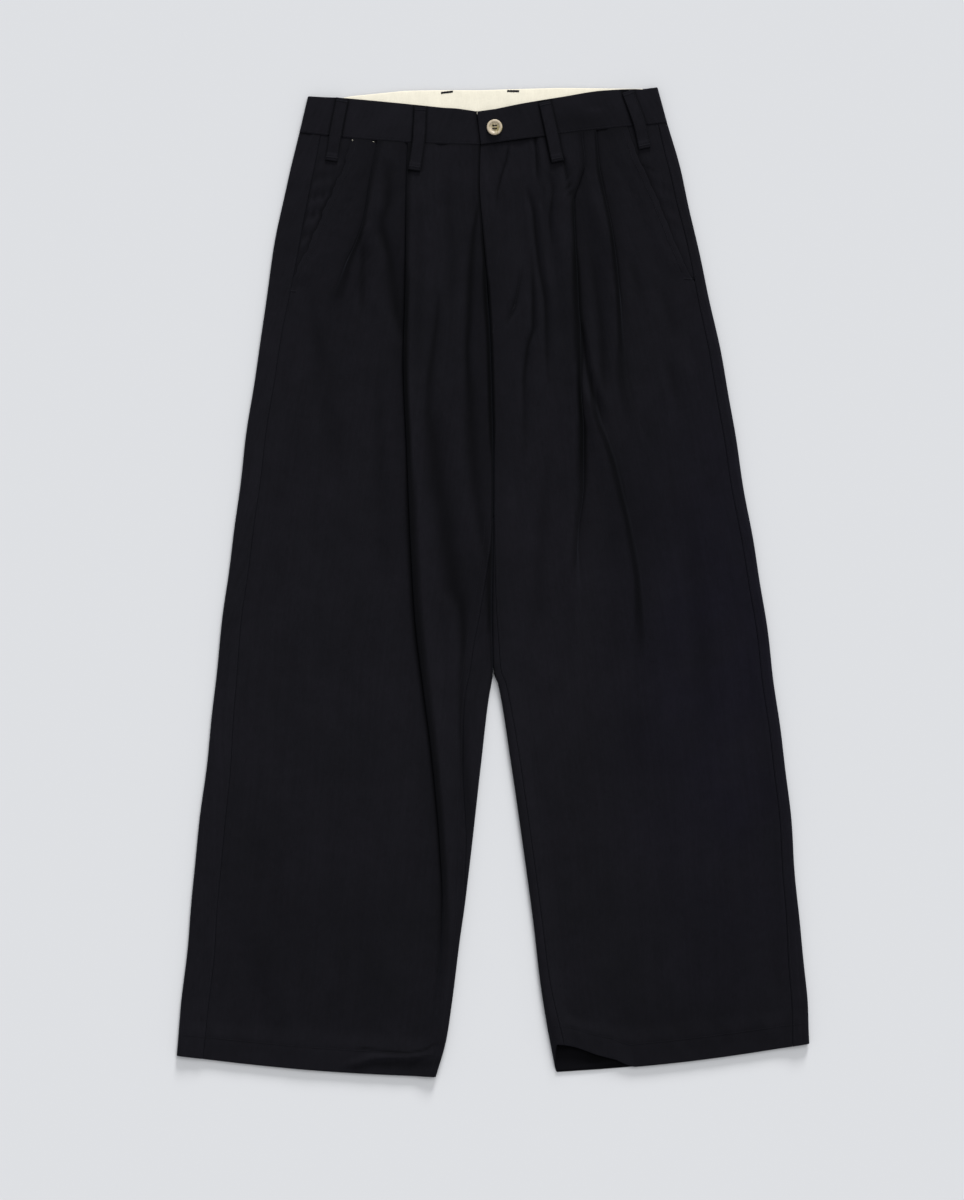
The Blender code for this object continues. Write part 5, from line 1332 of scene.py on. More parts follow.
# %% Short words for nodes
class Nodes:
    """Short words for building a node tree: add a node, set its values, link it."""

    def __init__(self, tree):
        self.tree = tree

    def fill(self, node, inputs):
        """Give a node its inputs; each is a number, a colour or a socket."""
        for key, value in inputs.items():
            if isinstance(value, bpy.types.NodeSocket):
                self.tree.links.new(value, node.inputs[key])
            else:
                node.inputs[key].default_value = value

    def add(self, kind, inputs, **settings):
        """Add a node and return its outputs."""
        node = self.tree.nodes.new(kind)
        for key, value in settings.items():
            setattr(node, key, value)
        self.fill(node, inputs)
        return node.outputs

    def math(self, operation, a, b=0.0):
        """The result of one sum on two numbers or sockets."""
        return self.add("ShaderNodeMath", {0: a, 1: b}, operation=operation)[0]

    def plus(self, *values):
        """All values added up."""
        return reduce(lambda a, b: self.math("ADD", a, b), values)

    def times(self, *values):
        """All values multiplied."""
        return reduce(lambda a, b: self.math("MULTIPLY", a, b), values)

    def less(self, a, b):
        """The first value less the second."""
        return self.math("SUBTRACT", a, b)

    def between(self, value, low, high, start=0.0, end=1.0):
        """A number that goes from start to end, brought to go from low to high."""
        return self.add("ShaderNodeMapRange", {"Value": value, "From Min": start, "From Max": end,
                                               "To Min": low, "To Max": high})["Result"]

    def noise(self, vector, scale, detail=2.0, roughness=0.5):
        """Noise from 0 to 1 at a scale in repeats per metre."""
        inputs = {"Vector": vector, "Scale": scale, "Detail": detail, "Roughness": roughness}
        return self.add("ShaderNodeTexNoise", inputs)["Fac"]

    def vector(self, operation, a, b=(0.0, 0.0, 0.0)):
        """The outputs of one sum on two vectors."""
        return self.add("ShaderNodeVectorMath", {0: a, 1: b}, operation=operation)

    def stretched(self, vector, x, y):
        """The same map with other scales across and down."""
        return self.add("ShaderNodeMapping", {"Vector": vector, "Scale": (x, y, 1.0)})["Vector"]

    def parts(self, vector):
        """The three numbers of a vector."""
        return self.add("ShaderNodeSeparateXYZ", {"Vector": vector})

    def place(self):
        """The place on the object, in metres."""
        return self.add("ShaderNodeTexCoord", {})["Object"]

    def cloth_map(self):
        """The piece's own map, in metres across and down the cloth."""
        return self.add("ShaderNodeUVMap", {}, uv_map="cloth")["UV"]

    def mix(self, factor, a, b):
        """A colour that goes from a to b as the factor goes from 0 to 1."""
        inputs = {"Factor": factor, "A": a, "B": b}
        return self.add("ShaderNodeMix", inputs, data_type="RGBA", clamp_factor=True)["Result"]

    def shaded(self, colour, share, strength=1.0):
        """A colour times a share, darkened by the piece's own painted shade times the strength."""
        painted_shade = self.add("ShaderNodeAttribute", {}, attribute_name="painted_shade")["Fac"]
        scale = self.times(self.less(1.0, self.times(painted_shade, strength)), share)
        return self.add("ShaderNodeVectorMath", {0: colour, "Scale": scale}, operation="SCALE")["Vector"]

    def bump(self, height, strength, distance):
        """A normal tilted by the slope of a height."""
        inputs = {"Height": height, "Strength": strength, "Distance": distance}
        return self.add("ShaderNodeBump", inputs)["Normal"]


# %% [markdown]
# The weave is a node group with three numbers to set: how fine the threads are, how
# many slubs there are, and how uneven the dye is.

# %% A weave as a node group
# The group's inputs and outputs
WEAVE_SOCKETS = (("Vector", "INPUT", "NodeSocketVector"), ("Threads per metre", "INPUT", "NodeSocketFloat"),
                 ("Slub", "INPUT", "NodeSocketFloat"), ("Dye", "INPUT", "NodeSocketFloat"),
                 ("Tone", "OUTPUT", "NodeSocketFloat"), ("Roughness", "OUTPUT", "NodeSocketFloat"),
                 ("Height", "OUTPUT", "NodeSocketFloat"))

# Noise for the slubs: repeats per metre across and down, and each one's share
Slub = namedtuple("Slub", "across down detail roughness share")
SLUBS = table(Slub, (1500, 110, 3, 0.62, 0.5), (130, 1500, 3, 0.62, 0.3), (260, 9, 2, 0.5, 0.2))
THREAD_TONE, THREAD_SHARE = 0.07, 0.25
TWILL_BEND = (160.0, 5.0)
DYE_SCALES = (11.0, 43.0)
THREAD_HEIGHT, SLUB_HEIGHT = 0.25, 1.6
CLOTH_ROUGHNESS = (0.80, 0.96)


def weave_group():
    """Twill threads, slubs and uneven dye on a map in metres.

    A thread is a sine ridge. The twill lines are a sine along the diagonal, bent a
    little by noise. Slubs are noise stretched along one thread direction, and the dye
    is slow round noise."""
    tree = bpy.data.node_groups.new("woven cloth", "ShaderNodeTree")
    for name, way, kind in WEAVE_SOCKETS:
        tree.interface.new_socket(name=name, in_out=way, socket_type=kind)
    make = Nodes(tree)
    given = tree.nodes.new("NodeGroupInput").outputs
    place = given["Vector"]
    parts = make.parts(place)
    turn = make.times(given["Threads per metre"], 2.0 * math.pi)
    warp = make.math("SINE", make.times(parts["X"], turn))
    weft = make.math("SINE", make.times(parts["Y"], turn))
    slant = make.times(make.plus(parts["X"], parts["Y"]), make.times(turn, 0.5))
    scale, bend = TWILL_BEND
    twill = make.math("SINE", make.plus(slant, make.times(make.noise(place, scale, 1.0), bend)))
    threads = make.plus(make.times(make.plus(warp, weft), THREAD_SHARE), twill)
    slub = make.plus(*(make.times(make.noise(make.stretched(place, line.across, line.down), 1.0,
                                             line.detail, line.roughness), line.share)
                       for line in SLUBS))
    slubs = make.times(make.less(slub, 0.5), make.times(given["Slub"], 4.0))
    slow, quick = DYE_SCALES
    dye = make.plus(make.noise(place, slow, 3.0), make.noise(place, quick, 2.0))
    dyes = make.times(make.less(dye, 1.0), make.times(given["Dye"], 2.0))
    make.fill(tree.nodes.new("NodeGroupOutput"), {
        "Tone": make.plus(slubs, dyes, make.times(threads, THREAD_TONE), 1.0),
        "Roughness": make.between(slub, *CLOTH_ROUGHNESS),
        "Height": make.plus(make.times(threads, THREAD_HEIGHT), make.times(slub, SLUB_HEIGHT))})
    return tree


WEAVE = weave_group()
print("weave group:", len(WEAVE.nodes), "nodes")

# %% [markdown]
# The navy cloth is close to black, so what one sees is mostly how little it
# shines: its specular level is very low, and a breath of sheen stands for the fine
# hairs that catch light at a glancing angle. Its tone is warmer and cooler by
# turns, because the navy shows where the dye is thinner.

# %% Cloth materials
NAVY, NAVY_LIGHT = (0.0052, 0.0052, 0.0066, 1.0), (0.0077, 0.0070, 0.0098, 1.0)
CREAM, CREAM_LIGHT = (0.867, 0.812, 0.657, 1.0), (0.914, 0.865, 0.729, 1.0)
THREAD, THREAD_LIGHT = (0.0058, 0.0058, 0.0075, 1.0), (0.0084, 0.0078, 0.0110, 1.0)
SHEEN_ROUGHNESS, SHEEN_TINT = 0.6, (0.55, 0.60, 0.80, 1.0)
TONE_NOISE = (7.0, 3.0)
WEAVE_BUMP = (0.35, 0.00016)

# A bluer tone in a soft patch on the left leg: its colour, middle, half size, how far
# out it reaches, and the noise that breaks it up
NAVY_BLUE = (0.0059, 0.0054, 0.0092, 1.0)
PATCH_MIDDLE = (0.265, -0.10, 0.0)
PATCH_SIZE = (0.13, 0.36, 1.0)
PATCH_EDGE = 1.25
PATCH_NOISE = (14.0, 4.0)
PATCH_STRENGTH = 1.7


def new_material(name):
    """A material, the builder of its nodes, and its shader."""
    material = bpy.data.materials.new(name)
    material.use_nodes = True
    return material, Nodes(material.node_tree), material.node_tree.nodes["Principled BSDF"]


def blue_patch(make, colour):
    """Mix the bluer tone into a colour: 1 in the patch's middle, broken up by noise."""
    place = make.place()
    offset = make.vector("SUBTRACT", place, PATCH_MIDDLE)["Vector"]
    away = make.vector("LENGTH", make.vector("DIVIDE", offset, PATCH_SIZE)["Vector"])["Value"]
    broken = make.times(make.noise(place, *PATCH_NOISE), PATCH_STRENGTH)
    return make.mix(make.times(make.less(PATCH_EDGE, away), broken), colour, NAVY_BLUE)


def cloth_material(name, dark, light, threads=1900.0, slub=0.10, dye=0.10, shine=0.05, sheen=0.03,
                   patched=False):
    """A woven cloth between two tones of one colour, on the piece's own UV map."""
    material, make, shader = new_material(name)
    uv = make.cloth_map()
    weave = make.add("ShaderNodeGroup", {"Vector": uv, "Threads per metre": threads, "Slub": slub,
                                         "Dye": dye}, node_tree=WEAVE)
    colour = make.mix(make.noise(uv, *TONE_NOISE), dark, light)
    if patched:
        colour = blue_patch(make, colour)
    make.fill(shader, {
        "Base Color": make.shaded(colour, weave["Tone"]),
        "Roughness": weave["Roughness"],
        "Normal": make.bump(weave["Height"], *WEAVE_BUMP),
        "Specular IOR Level": shine,
        "Sheen Weight": sheen,
        "Sheen Roughness": SHEEN_ROUGHNESS,
        "Sheen Tint": SHEEN_TINT})
    return material


navy_cloth = cloth_material("navy cloth", NAVY, NAVY_LIGHT, slub=0.48, dye=0.18, patched=True)
cream_cloth = cloth_material("cream cloth", CREAM, CREAM_LIGHT, 2200.0, dye=0.05, shine=0.25, sheen=0.05)
thread_cloth = cloth_material("navy thread", THREAD, THREAD_LIGHT, shine=0.12)


def give(piece, material):
    """Put one material on a whole piece."""
    piece.data.materials.clear()
    piece.data.materials.append(material)
    return piece


print("materials:", [cloth.name for cloth in (navy_cloth, cream_cloth, thread_cloth)])

# %% [markdown]
# The sheet under the trousers is smooth pale card. It has hardly any detail, which
# is what the photograph shows, but a trace of unevenness keeps it from looking
# painted.

# %% Floor material
FLOOR_COLOUR = (0.716, 0.724, 0.742, 1.0)
FLOOR_GRAIN = 30.0
FLOOR_ROUGHNESS = (0.88, 0.96)
floor_material, floor_nodes, floor_shader = new_material("pale card")
floor_nodes.fill(floor_shader, {
    "Base Color": FLOOR_COLOUR,
    "Specular IOR Level": 0.0,
    "Roughness": floor_nodes.between(floor_nodes.noise(floor_nodes.place(), FLOOR_GRAIN), *FLOOR_ROUGHNESS)})
give(floor, floor_material)
print("floor roughness:", FLOOR_ROUGHNESS)

# %% [markdown]
# The pocket facing is a strip of the same cloth that shows between the slanted
# mouth of the pocket and the side seam. It is cut on a slant to the threads, so in
# the photograph it ripples, most of all halfway down the wearer's right pocket. At
# the lower end it narrows to nothing where the mouth meets the seam.

# %% Pocket facings
FACING_ROWS = ROWS[ROWS <= MOUTH_END]
FACING_THIN = ROW_THIN[:len(FACING_ROWS)].copy()
FACING_THIN[-3:] = ROUND_THIN[::-1]
RIPPLE_MIDDLE = 0.085
RIPPLE_REACH = 0.055
RIPPLE_LONG = 2.4
RIPPLE_LEVEL, RIPPLE_SWING = 0.6, 0.4
RIPPLE_SLANTS = (0.35, 0.15)
MOUTH_FREE, SEAM_FREE = 5.0, 4.0
# Painted shade beside the seam and in the ripples' troughs: its reach, and the troughs' depth, narrowing and
# start
FACING_SEAM_REACH = 1.8
TROUGH_SHADE = 0.42
TROUGH_NARROW = 1.9
TROUGH_START = 3.0

# The shade under the edge of each mouth, how far it reaches, and how much further where
# the mouth gapes
MOUTH_SHADES = {"right": 0.30, "left": 0.54}
MOUTH_SHADE_REACH = 1.4
GAPE_SHADE_REACH = 3.0

# A short line of painted shade across the left facing, where the shape has no fold
FACING_SHADE_LINE = table(Across, (161, 470, 0, 1.5), (167, 468, 0.5, 1.5), (178, 463.5, 0.45, 1.6),
                    (186, 460, 0, 1.6))


def facing_ripple(row, s):
    """Height from 0 to 1 of slanted sine ripples, strongest halfway down."""
    down = row.share * LEG_LENGTH
    wave = sine(down + RIPPLE_SLANTS[0] * s, RIPPLE_LONG * FACING_RIPPLE_LENGTH)
    wave = wave + 0.5 * sine(s - RIPPLE_SLANTS[1] * down, FACING_RIPPLE_LENGTH, 1.0)
    near = hump((row.share - RIPPLE_MIDDLE) / RIPPLE_REACH)
    free = ease((row.start - s - 1.0) / MOUTH_FREE) * ease((s - row.seam) / SEAM_FREE)
    return row.leg.ripple * (RIPPLE_LEVEL + RIPPLE_SWING * wave) * near * free


def make_pocket_facing(side):
    """The strip from the side seam to a little way under the front."""
    row = leg_row(side, FACING_ROWS[:, None])
    start = row.seam
    end = row.start + POCKET_TUCK * row.open
    s = np.concatenate([start + HALF * ROUND_IN, spread(start + HALF, end - HALF, STEPS.facing, first=True),
                        end - HALF * ROUND_IN[::-1]], axis=1)
    _, z, heading = laid_on(lambda place: ground(row, place) + FACING_RIPPLE * facing_ripple(row, place), s)
    thin = HALF * FACING_THIN[:, None] * column_thin(s.shape[1])
    faces = [to_space(row, s, z, heading, offset, 0.0) for offset in (0.0, thin, -thin)]
    # Painted shade under the mouth's edge, wider where it gapes, in the ripples' troughs, beside the seam
    # and along the short line
    gaping = row.leg.gape * bell(np.abs(height_on(row, row.start) - GAPE_Y) / GAPE_LENGTH)
    reach = MOUTH_SHADE_REACH + GAPE_SHADE_REACH * gaping
    painted_shade = MOUTH_SHADES[side] * np.exp(-np.maximum(row.start - s, 0.0) / reach)
    near = hump((row.share - RIPPLE_MIDDLE) / RIPPLE_REACH) * row.leg.ripple
    troughs = near * np.clip(1.0 - TROUGH_NARROW * facing_ripple(row, s), 0.0, 1.0)
    troughs = troughs * ease((s - row.seam) / TROUGH_START)
    beside_seam = 0.5 * near * hump((s - row.seam) / FACING_SEAM_REACH)
    tuck = shade_line(FACING_SHADE_LINE, row.outer_x + s * row.along_x, height_on(row, s))
    painted_shade = 1.0 - (1.0 - painted_shade) * (1.0 - TROUGH_SHADE * troughs) * (1.0 - beside_seam) * (1.0 - tuck)
    return cloth_piece("pocket_facing_" + side, faces, s, row.share * LEG_LENGTH, painted_shade)


navy_pieces += [make_pocket_facing(side) for side in LEGS]

# %% [markdown]
# The waistband is a straight strip, folded along its top edge, with firm interlining
# inside. So it stays almost flat, and only waves a little between the belt loops.
# Each half runs from the centre back round the side to the front, where the left
# end laps over the right one. It is a wall along a path again, but this time the
# rows run up the band.

# %% The waistband's sizes
BAND_HEIGHT = 40.0
BAND_START = 0.5 * GAP / BAND_HEIGHT
LAP_SHADE_REACH = 1.8
BAND_BACK_Z = LOOP_LIFT + 0.5 * BAND_WALL
BAND_FRONT_Z = BAND_BACK_Z + 0.5 * BAND_WALL + GAP + CLOTH + GAP + 0.5 * BAND_WALL
BAND_TOP_Z = BAND_FRONT_Z + 0.5 * BAND_WALL
BAND_RADIUS = 0.5 * (BAND_FRONT_Z - BAND_BACK_Z)
BAND_PITCH = BAND_WALL + GAP
LAP_START = UNDERLAP + 2.0
BAND_HALF = 0.5 * BAND_WALL
BAND_ROWS = 34
BAND_UP = rounded_line(0.0, BAND_HEIGHT * (1.0 - BAND_START), BAND_ROWS, BAND_HALF)
BAND_SHARES = BAND_START + BAND_UP / BAND_HEIGHT
BAND_THIN = column_thin(len(BAND_SHARES))
BAND_STEPS = SimpleNamespace(back=70, roll=12, front=90, slope=16, lap=26)
BAND_WAVE = 0.16
BAND_WAVES = (47.0, 21.0, 9.5)
BAND_SECOND = 0.6
BAND_SLANT = 14.0
BAND_PUCKER_UP = 6.0
BAND_CALM = 12.0
BAND_POINTS = 420
BAND_STITCH_UP = 2.0
BAND_GROOVE, BAND_GROOVE_DEPTH = 0.7, 1.1


def band_line(side, name, share):
    """One named size of the band, between its seam and its top edge."""
    low, high = (getattr(line, name) for line in LEGS[side].band)
    return low + (high - low) * share


def lap_rise(side, past):
    """How much the left end of the band rises to lie over the right one."""
    if side == "right":
        return 0.0 * past
    return BAND_PITCH * ease((past + LAP_START + LAP_SLOPE) / LAP_SLOPE)


def band_width(side, part, share):
    """Length of the band's front or back from its side to its end."""
    return np.abs(band_line(side, part + "_x", share) - band_line(side, "outer_x", share))


def band_relief(s, share, phase):
    """Low waves along the band, and the groove of the stitch line above its seam."""
    up = share * BAND_HEIGHT
    long_wave, short_wave, pucker_wave = BAND_WAVES
    wave = sine(s, long_wave, phase) + BAND_SECOND * sine(s, short_wave, 2.0 * phase + up / BAND_SLANT)
    pucker = sine(s, pucker_wave, 3.0 * phase) * hump(up / BAND_PUCKER_UP)
    groove = hump((up - BAND_STITCH_UP) / BAND_GROOVE)
    wave = wave / (1.0 + BAND_SECOND) * np.sin(np.pi * share)
    return BAND_WAVE * (wave + 0.5 * pucker - BAND_GROOVE_DEPTH * groove)


print("height of the band's back and front:", BAND_BACK_Z, "and", round(BAND_FRONT_Z, 2), "mm")

# %% [markdown]
# A place on the band is again a distance from its outer edge and a share, this time up
# the band. Front and back have their own lines, and round the side the path goes over
# from one to the other.

# %% The waistband's halves
def band_points(side, s, z, heading, offset, on_back, share):
    """Points of the band's face in space.

    Past its own end, the band follows the other half's line, with a little taper."""
    s = s - offset * np.sin(heading)
    z = z + offset * np.cos(heading)
    outer_x = band_line(side, "outer_x", share)
    outer_y = band_line(side, "outer_y", share)
    other = "left" if side == "right" else "right"
    other_fall = band_line(other, "outer_y", share) - band_line(other, "front_y", share)
    other_slope = other_fall / band_width(other, "front", share)
    points = []
    for part in ("front", "back"):
        end_x = band_line(side, part + "_x", share)
        end_y = band_line(side, part + "_y", share)
        bow = band_line(side, part + "_bow", share)
        width = band_width(side, part, share) - 0.5 * GAP
        slope = (end_y - outer_y) / width
        x = outer_x + np.sign(end_x - outer_x) * s
        y = outer_y + slope * s + bow * np.sin(np.pi * np.clip(s / width, 0.0, 1.0))
        turn_up = other_slope - slope + UNDERLAP_TAPER * (1.0 - share)
        y = y + np.maximum(s - width, 0.0) * turn_up + share * column(SWAYS[side, part], "rise", s)
        points.append(xyz(x, y, z))
    weight = on_back[..., None]
    return points[0] * (1.0 - weight) + points[1] * weight


def make_band(side):
    """Half of the waistband: the back, round the side, and the front up to its lap."""
    share = BAND_SHARES[:, None]
    width = band_width(side, "front", share) - 0.5 * GAP
    back_width = band_width(side, "back", share) - 0.5 * GAP
    edge = BAND_RADIUS + BAND_HALF
    reach = UNDERLAP if side == "right" else 0.0
    flat = np.concatenate([back_width - BAND_HALF * ROUND_IN,
                           spread(back_width - BAND_HALF, edge, BAND_STEPS.back, first=True)], axis=1)
    theta = spread(0.0, np.pi, BAND_STEPS.roll) + 0.0 * width
    slope_start = width - LAP_START - LAP_SLOPE
    end = width + reach
    top = np.concatenate([spread(edge + 0.0 * width, slope_start, BAND_STEPS.front),
                          spread(slope_start, slope_start + LAP_SLOPE, BAND_STEPS.slope),
                          spread(slope_start + LAP_SLOPE, end - BAND_HALF, BAND_STEPS.lap),
                          end - BAND_HALF * ROUND_IN[::-1]], axis=1)
    s = np.concatenate([flat, edge - BAND_RADIUS * np.sin(theta), top], axis=1)
    waves = band_relief(top, share, LEGS[side].phase) * ease((top - edge) / BAND_CALM)
    z = np.concatenate([BAND_BACK_Z + 0.0 * flat, BAND_BACK_Z + BAND_RADIUS * (1.0 - np.cos(theta)),
                        BAND_FRONT_Z + lap_rise(side, top - width) + waves], axis=1)
    heading = np.concatenate([-np.pi + 0.0 * flat, -np.pi - theta, 0.0 * top], axis=1)
    on_back = np.concatenate([1.0 + 0.0 * flat, 0.5 + 0.5 * np.cos(theta), 0.0 * top], axis=1)
    shares = share + 0.0 * s
    thin = BAND_HALF * BAND_THIN[:, None] * column_thin(s.shape[1])
    faces = [band_points(side, s, z, heading, offset, on_back, shares) for offset in (0.0, thin, -thin)]
    x, y = faces[0][..., 0], faces[0][..., 1]
    # Painted shade: the wide soft shades, beside the belt loops, and on the right half beside the edge of
    # the left end that laps over it
    lit = broad_tone(x, y) * (1.0 - LOOP_SHADE * beside_loops(x, y))
    if side == "right":
        away = np.maximum(band_line("left", "front_x", shares) - x, 0.0)
        lit = lit * (1.0 - LOOP_SHADE * hump(away / LAP_SHADE_REACH))
    return cloth_piece("waistband_" + side, faces, length_along(faces[0], 1), shares * BAND_HEIGHT,
                       (1.0 - lit) * (1.0 - on_back))


navy_pieces += [make_band(side) for side in LEGS]

# %% [markdown]
# Inside the back of the band is a facing of cream cotton twill, the only light
# cloth on the garment. Its top edge comes to within a hair of the band's, so that
# only a thin line of navy shows behind it.

# %% The cream facing
FACING_LINE = 0.35
FACING_WAVE = 0.22
FACING_WAVES = (23.0, 9.0)
FACING_SLANTS = (9.0, 7.0)
FACING_SECOND = 0.7
FACING_LEVEL, FACING_SWING = 0.5, 0.3
FACING_LOW_EDGE, FACING_TOP_EDGE = 6.0, 5.0
FACING_COLUMNS, FACING_LINES = 220, 22


def back_edge(x):
    """Height up the garment of the band's top edge at the back, across both halves."""
    heights = []
    for side in ("right", "left"):
        top = LEGS[side].band[1]
        across = np.clip((x - top.outer_x) / (top.back_x - top.outer_x), 0.0, 1.0)
        bow = top.back_bow * np.sin(np.pi * across)
        sway = column(SWAYS[side, "back"], "rise", np.abs(x - top.outer_x))
        heights.append(top.outer_y + (top.back_y - top.outer_y) * across + bow + sway)
    return np.where(x < CENTRE_X, heights[0], heights[1])


def make_facing():
    """A strip from FACING_DEPTH below the band's top edge up to that edge."""
    x = rounded_line(FACING_RIGHT_X, FACING_LEFT_X, FACING_COLUMNS, HALF)[None, :]
    up = rounded_line(0.0, FACING_DEPTH, FACING_LINES, HALF)[:, None]
    y = back_edge(x) - FACING_LINE - FACING_DEPTH + up
    low = BAND_BACK_Z + BAND_HALF + GAP + HALF
    long_wave, short_wave = FACING_WAVES
    first, second = FACING_SLANTS
    wave = sine(x, long_wave, up / first) + FACING_SECOND * sine(x, short_wave, -up / second)
    calm = ease(up / FACING_LOW_EDGE), ease((FACING_DEPTH - up) / FACING_TOP_EDGE)
    z = low + FACING_WAVE * (FACING_LEVEL + FACING_SWING * wave) * calm[0] * calm[1]
    thin = HALF * column_thin(len(up))[:, None] * column_thin(x.shape[1])
    faces = [xyz(x, y, z + offset) for offset in (0.0, thin, -thin)]
    return cloth_piece("waistband_facing", faces, x, y, 0.0)


give(make_facing(), cream_cloth)

# %% [markdown]
# To set anything on the fronts, one has to know how high they are at a place given
# as x and y. `locate` finds the row through that place by walking towards it a few
# times, and `top_height` gives the highest layer there.

# %% Finding a place on the front
# The walk towards a place starts as if the leg began at this height
WAIST_Y = 500.0


def locate(side, x, y):
    """The row through the place (x, y), and the place's distance from the outer edge."""
    share = np.clip((WAIST_Y - y) / LEG_LENGTH, 0.0, 1.0) + 0.0 * x
    for _ in range(SHARE_STEPS):
        row = leg_row(side, share)
        s = (x - row.outer_x) / row.along_x
        share = share + (height_on(row, s) - y) / LEG_LENGTH
    row = leg_row(side, np.maximum(share, 0.0))
    return row, (x - row.outer_x) / row.along_x


def top_height(row, s):
    """Height of the highest layer of the front: each fold counts from its edge on."""
    z = ground(row, s) + pocket_rise(row, s) * (s > row.start - 0.5)
    for fold in row.folds:
        over = s > fold.edge - fold.radius - CLOTH
        z = z + np.where(over, fold.rise * bell((s - fold.fall) / fold.settle), 0.0)
    return z


print("top height in the middle of that row:", round(top_height(halfway, halfway_s).item(), 2), "mm")

# %% [markdown]
# A belt loop is a narrow strip whose long edges are folded in. It starts at the
# band's top edge, crosses the band, and is tacked down below the seam with its end
# tucked under. At each station it lies on the highest cloth below it: the largest
# height in a small window, smoothed over the same window, so it never dips into
# what it lies on.

# %% Front belt loops
LOOP_ROWS = 66
LOOP_PROBES = 9
LOOP_WINDOW = 5
LOOP_ARCH = 0.7
LOOP_TUCK = 7.0
LOOP_TUCK_RISE = 0.5
LOOP_COLUMNS = 13
LOOP_STITCH = 1.8
LOOP_GROOVE = 0.16
LOOP_GROOVE_WIDTH = 0.6
LOOP_PITCH = (2.6, 2.0)
LOOP_TACK = (LOOP_WIDTH - 2.0, 1.7, 20)


def windowed(values, reach, pick):
    """Apply pick (max or mean) to each value and its neighbours up to reach away."""
    padded = np.pad(values, reach, mode="edge")
    return pick(np.lib.stride_tricks.sliding_window_view(padded, 2 * reach + 1), axis=1)


def loop_height(loop, y):
    """Height of a loop's middle surface along its length."""
    across = np.linspace(-0.5, 0.5, LOOP_PROBES) * (LOOP_WIDTH + 2.0 * LOOP_MARGIN)
    place_x = loop_line(loop, y)[:, None] + across[None, :]
    row, s = locate(loop.side, place_x, y[:, None] + 0.0 * place_x)
    cover = (top_height(row, s) + HALF).max(axis=1)
    cover = np.where(y > loop.seam_y - SEAM_BELOW, np.maximum(cover, BAND_TOP_Z), cover)
    cover = np.where(y > loop.seam_y + SEAM_ABOVE, BAND_TOP_Z, cover)
    raised = windowed(windowed(cover, LOOP_WINDOW, np.max), LOOP_WINDOW, np.mean)
    t = (y - y.min()) / (y.max() - y.min())
    return raised + LOOP_CLEARANCE + 0.5 * LOOP_WALL + LOOP_ARCH * np.sin(np.pi * t) ** 2


def loop_strip(name, x, y, z, half, swell):
    """A belt loop along a line: rounded edges, a flat pressed middle and a tucked end.

    The half thickness is largest in the middle and thins in a quarter circle
    towards every edge. swell is added to it on the outer side."""
    sideways = rounded_line(0.0, LOOP_WIDTH, LOOP_COLUMNS, half) - 0.5 * LOOP_WIDTH
    groove = LOOP_GROOVE * hump((np.abs(sideways) - 0.5 * LOOP_WIDTH + LOOP_STITCH) / LOOP_GROOVE_WIDTH)
    tilt = np.gradient(x, y)
    turn = 1.0 / np.sqrt(1.0 + tilt * tilt)
    grid_x = x[:, None] + sideways * turn[:, None]
    grid_y = y[:, None] - sideways * (tilt * turn)[:, None]
    thin = column_thin(len(y))[:, None] * column_thin(len(sideways))
    z = z[:, None]
    faces = [xyz(grid_x, grid_y, height)
             for height in (z, z + (half + swell[:, None]) * thin - groove, z - half * thin)]
    # Painted shade along the loop's long edges and at its lower end
    rim = hump((0.5 * LOOP_WIDTH - np.abs(sideways)) / LOOP_RIM)
    end = hump((y - y.min()) / LOOP_RIM)[:, None]
    return cloth_piece(name, faces, sideways, y[:, None], LOOP_SHADE * np.maximum(rim, end))


def loop_swell(loop, y):
    """How much thicker a loop is over its tucked end."""
    return LOOP_TUCK_RISE * (1.0 - ease((y - loop.end_y - LOOP_TUCK) / 2.0))


def make_front_loop(loop):
    """A belt loop over the band."""
    y = rounded_line(loop.end_y, loop.top_y, LOOP_ROWS, 0.5 * LOOP_WALL)
    return loop_strip(loop.name, loop_line(loop, y), y, loop_height(loop, y), 0.5 * LOOP_WALL,
                      loop_swell(loop, y))


def make_back_loop(name, x):
    """A belt loop under the back of the band, lying on the floor."""
    y = rounded_line(BACK_LOOP_END, BACK_LOOP_TOP, LOOP_ROWS, 0.5 * BACK_LOOP_WALL)
    flat = 0.0 * y
    return loop_strip(name, x + flat, y, 0.5 * BACK_LOOP_WALL + flat, 0.5 * BACK_LOOP_WALL, flat)


navy_pieces += [make_front_loop(loop) for loop in FRONT_LOOPS]
navy_pieces += [make_back_loop(name, x) for name, x in BACK_LOOPS.items()]
for navy_piece in navy_pieces:
    give(navy_piece, navy_cloth)

# %% [markdown]
# The button is horn: a disc with a rounded rim, a dished middle and four holes. A
# disc made of rings would have a pole in its middle, so it is a square grid pulled
# out to a circle instead. Both faces come from one formula each for their height.

# %% Button
BUTTON_GRID = 121
BUTTON_EDGE_LOW, BUTTON_EDGE_HIGH = 0.8, 2.2
BUTTON_ROUND_TOP, BUTTON_ROUND_UNDER = 1.3, 1.6
BUTTON_RIM = 2.1
BUTTON_DISH = 0.9
BUTTON_DISH_SLOPE = 1.7
HOLE_DEPTH = 1.5
HOLE_INSET, HOLE_SLOPE = 0.3, 0.45
BUTTON_BASE = BAND_TOP_Z + BAND_PITCH + GAP


def disc_grid(count):
    """A grid on the unit disc: x is u sqrt(1 - v v / 2), and y the same with u and v swapped."""
    line = np.sin(0.5 * np.pi * np.linspace(-1.0, 1.0, count))
    u, v = np.meshgrid(line, line)
    return u * np.sqrt(1.0 - 0.5 * v * v), v * np.sqrt(1.0 - 0.5 * u * u)


def quarter_round(x):
    """Quarter circle: 0 and upright at 0, rising to 1 and level from 1 on."""
    return np.sqrt(np.clip(1.0 - np.clip(1.0 - x, 0.0, 1.0) ** 2, 0.0, 1.0))


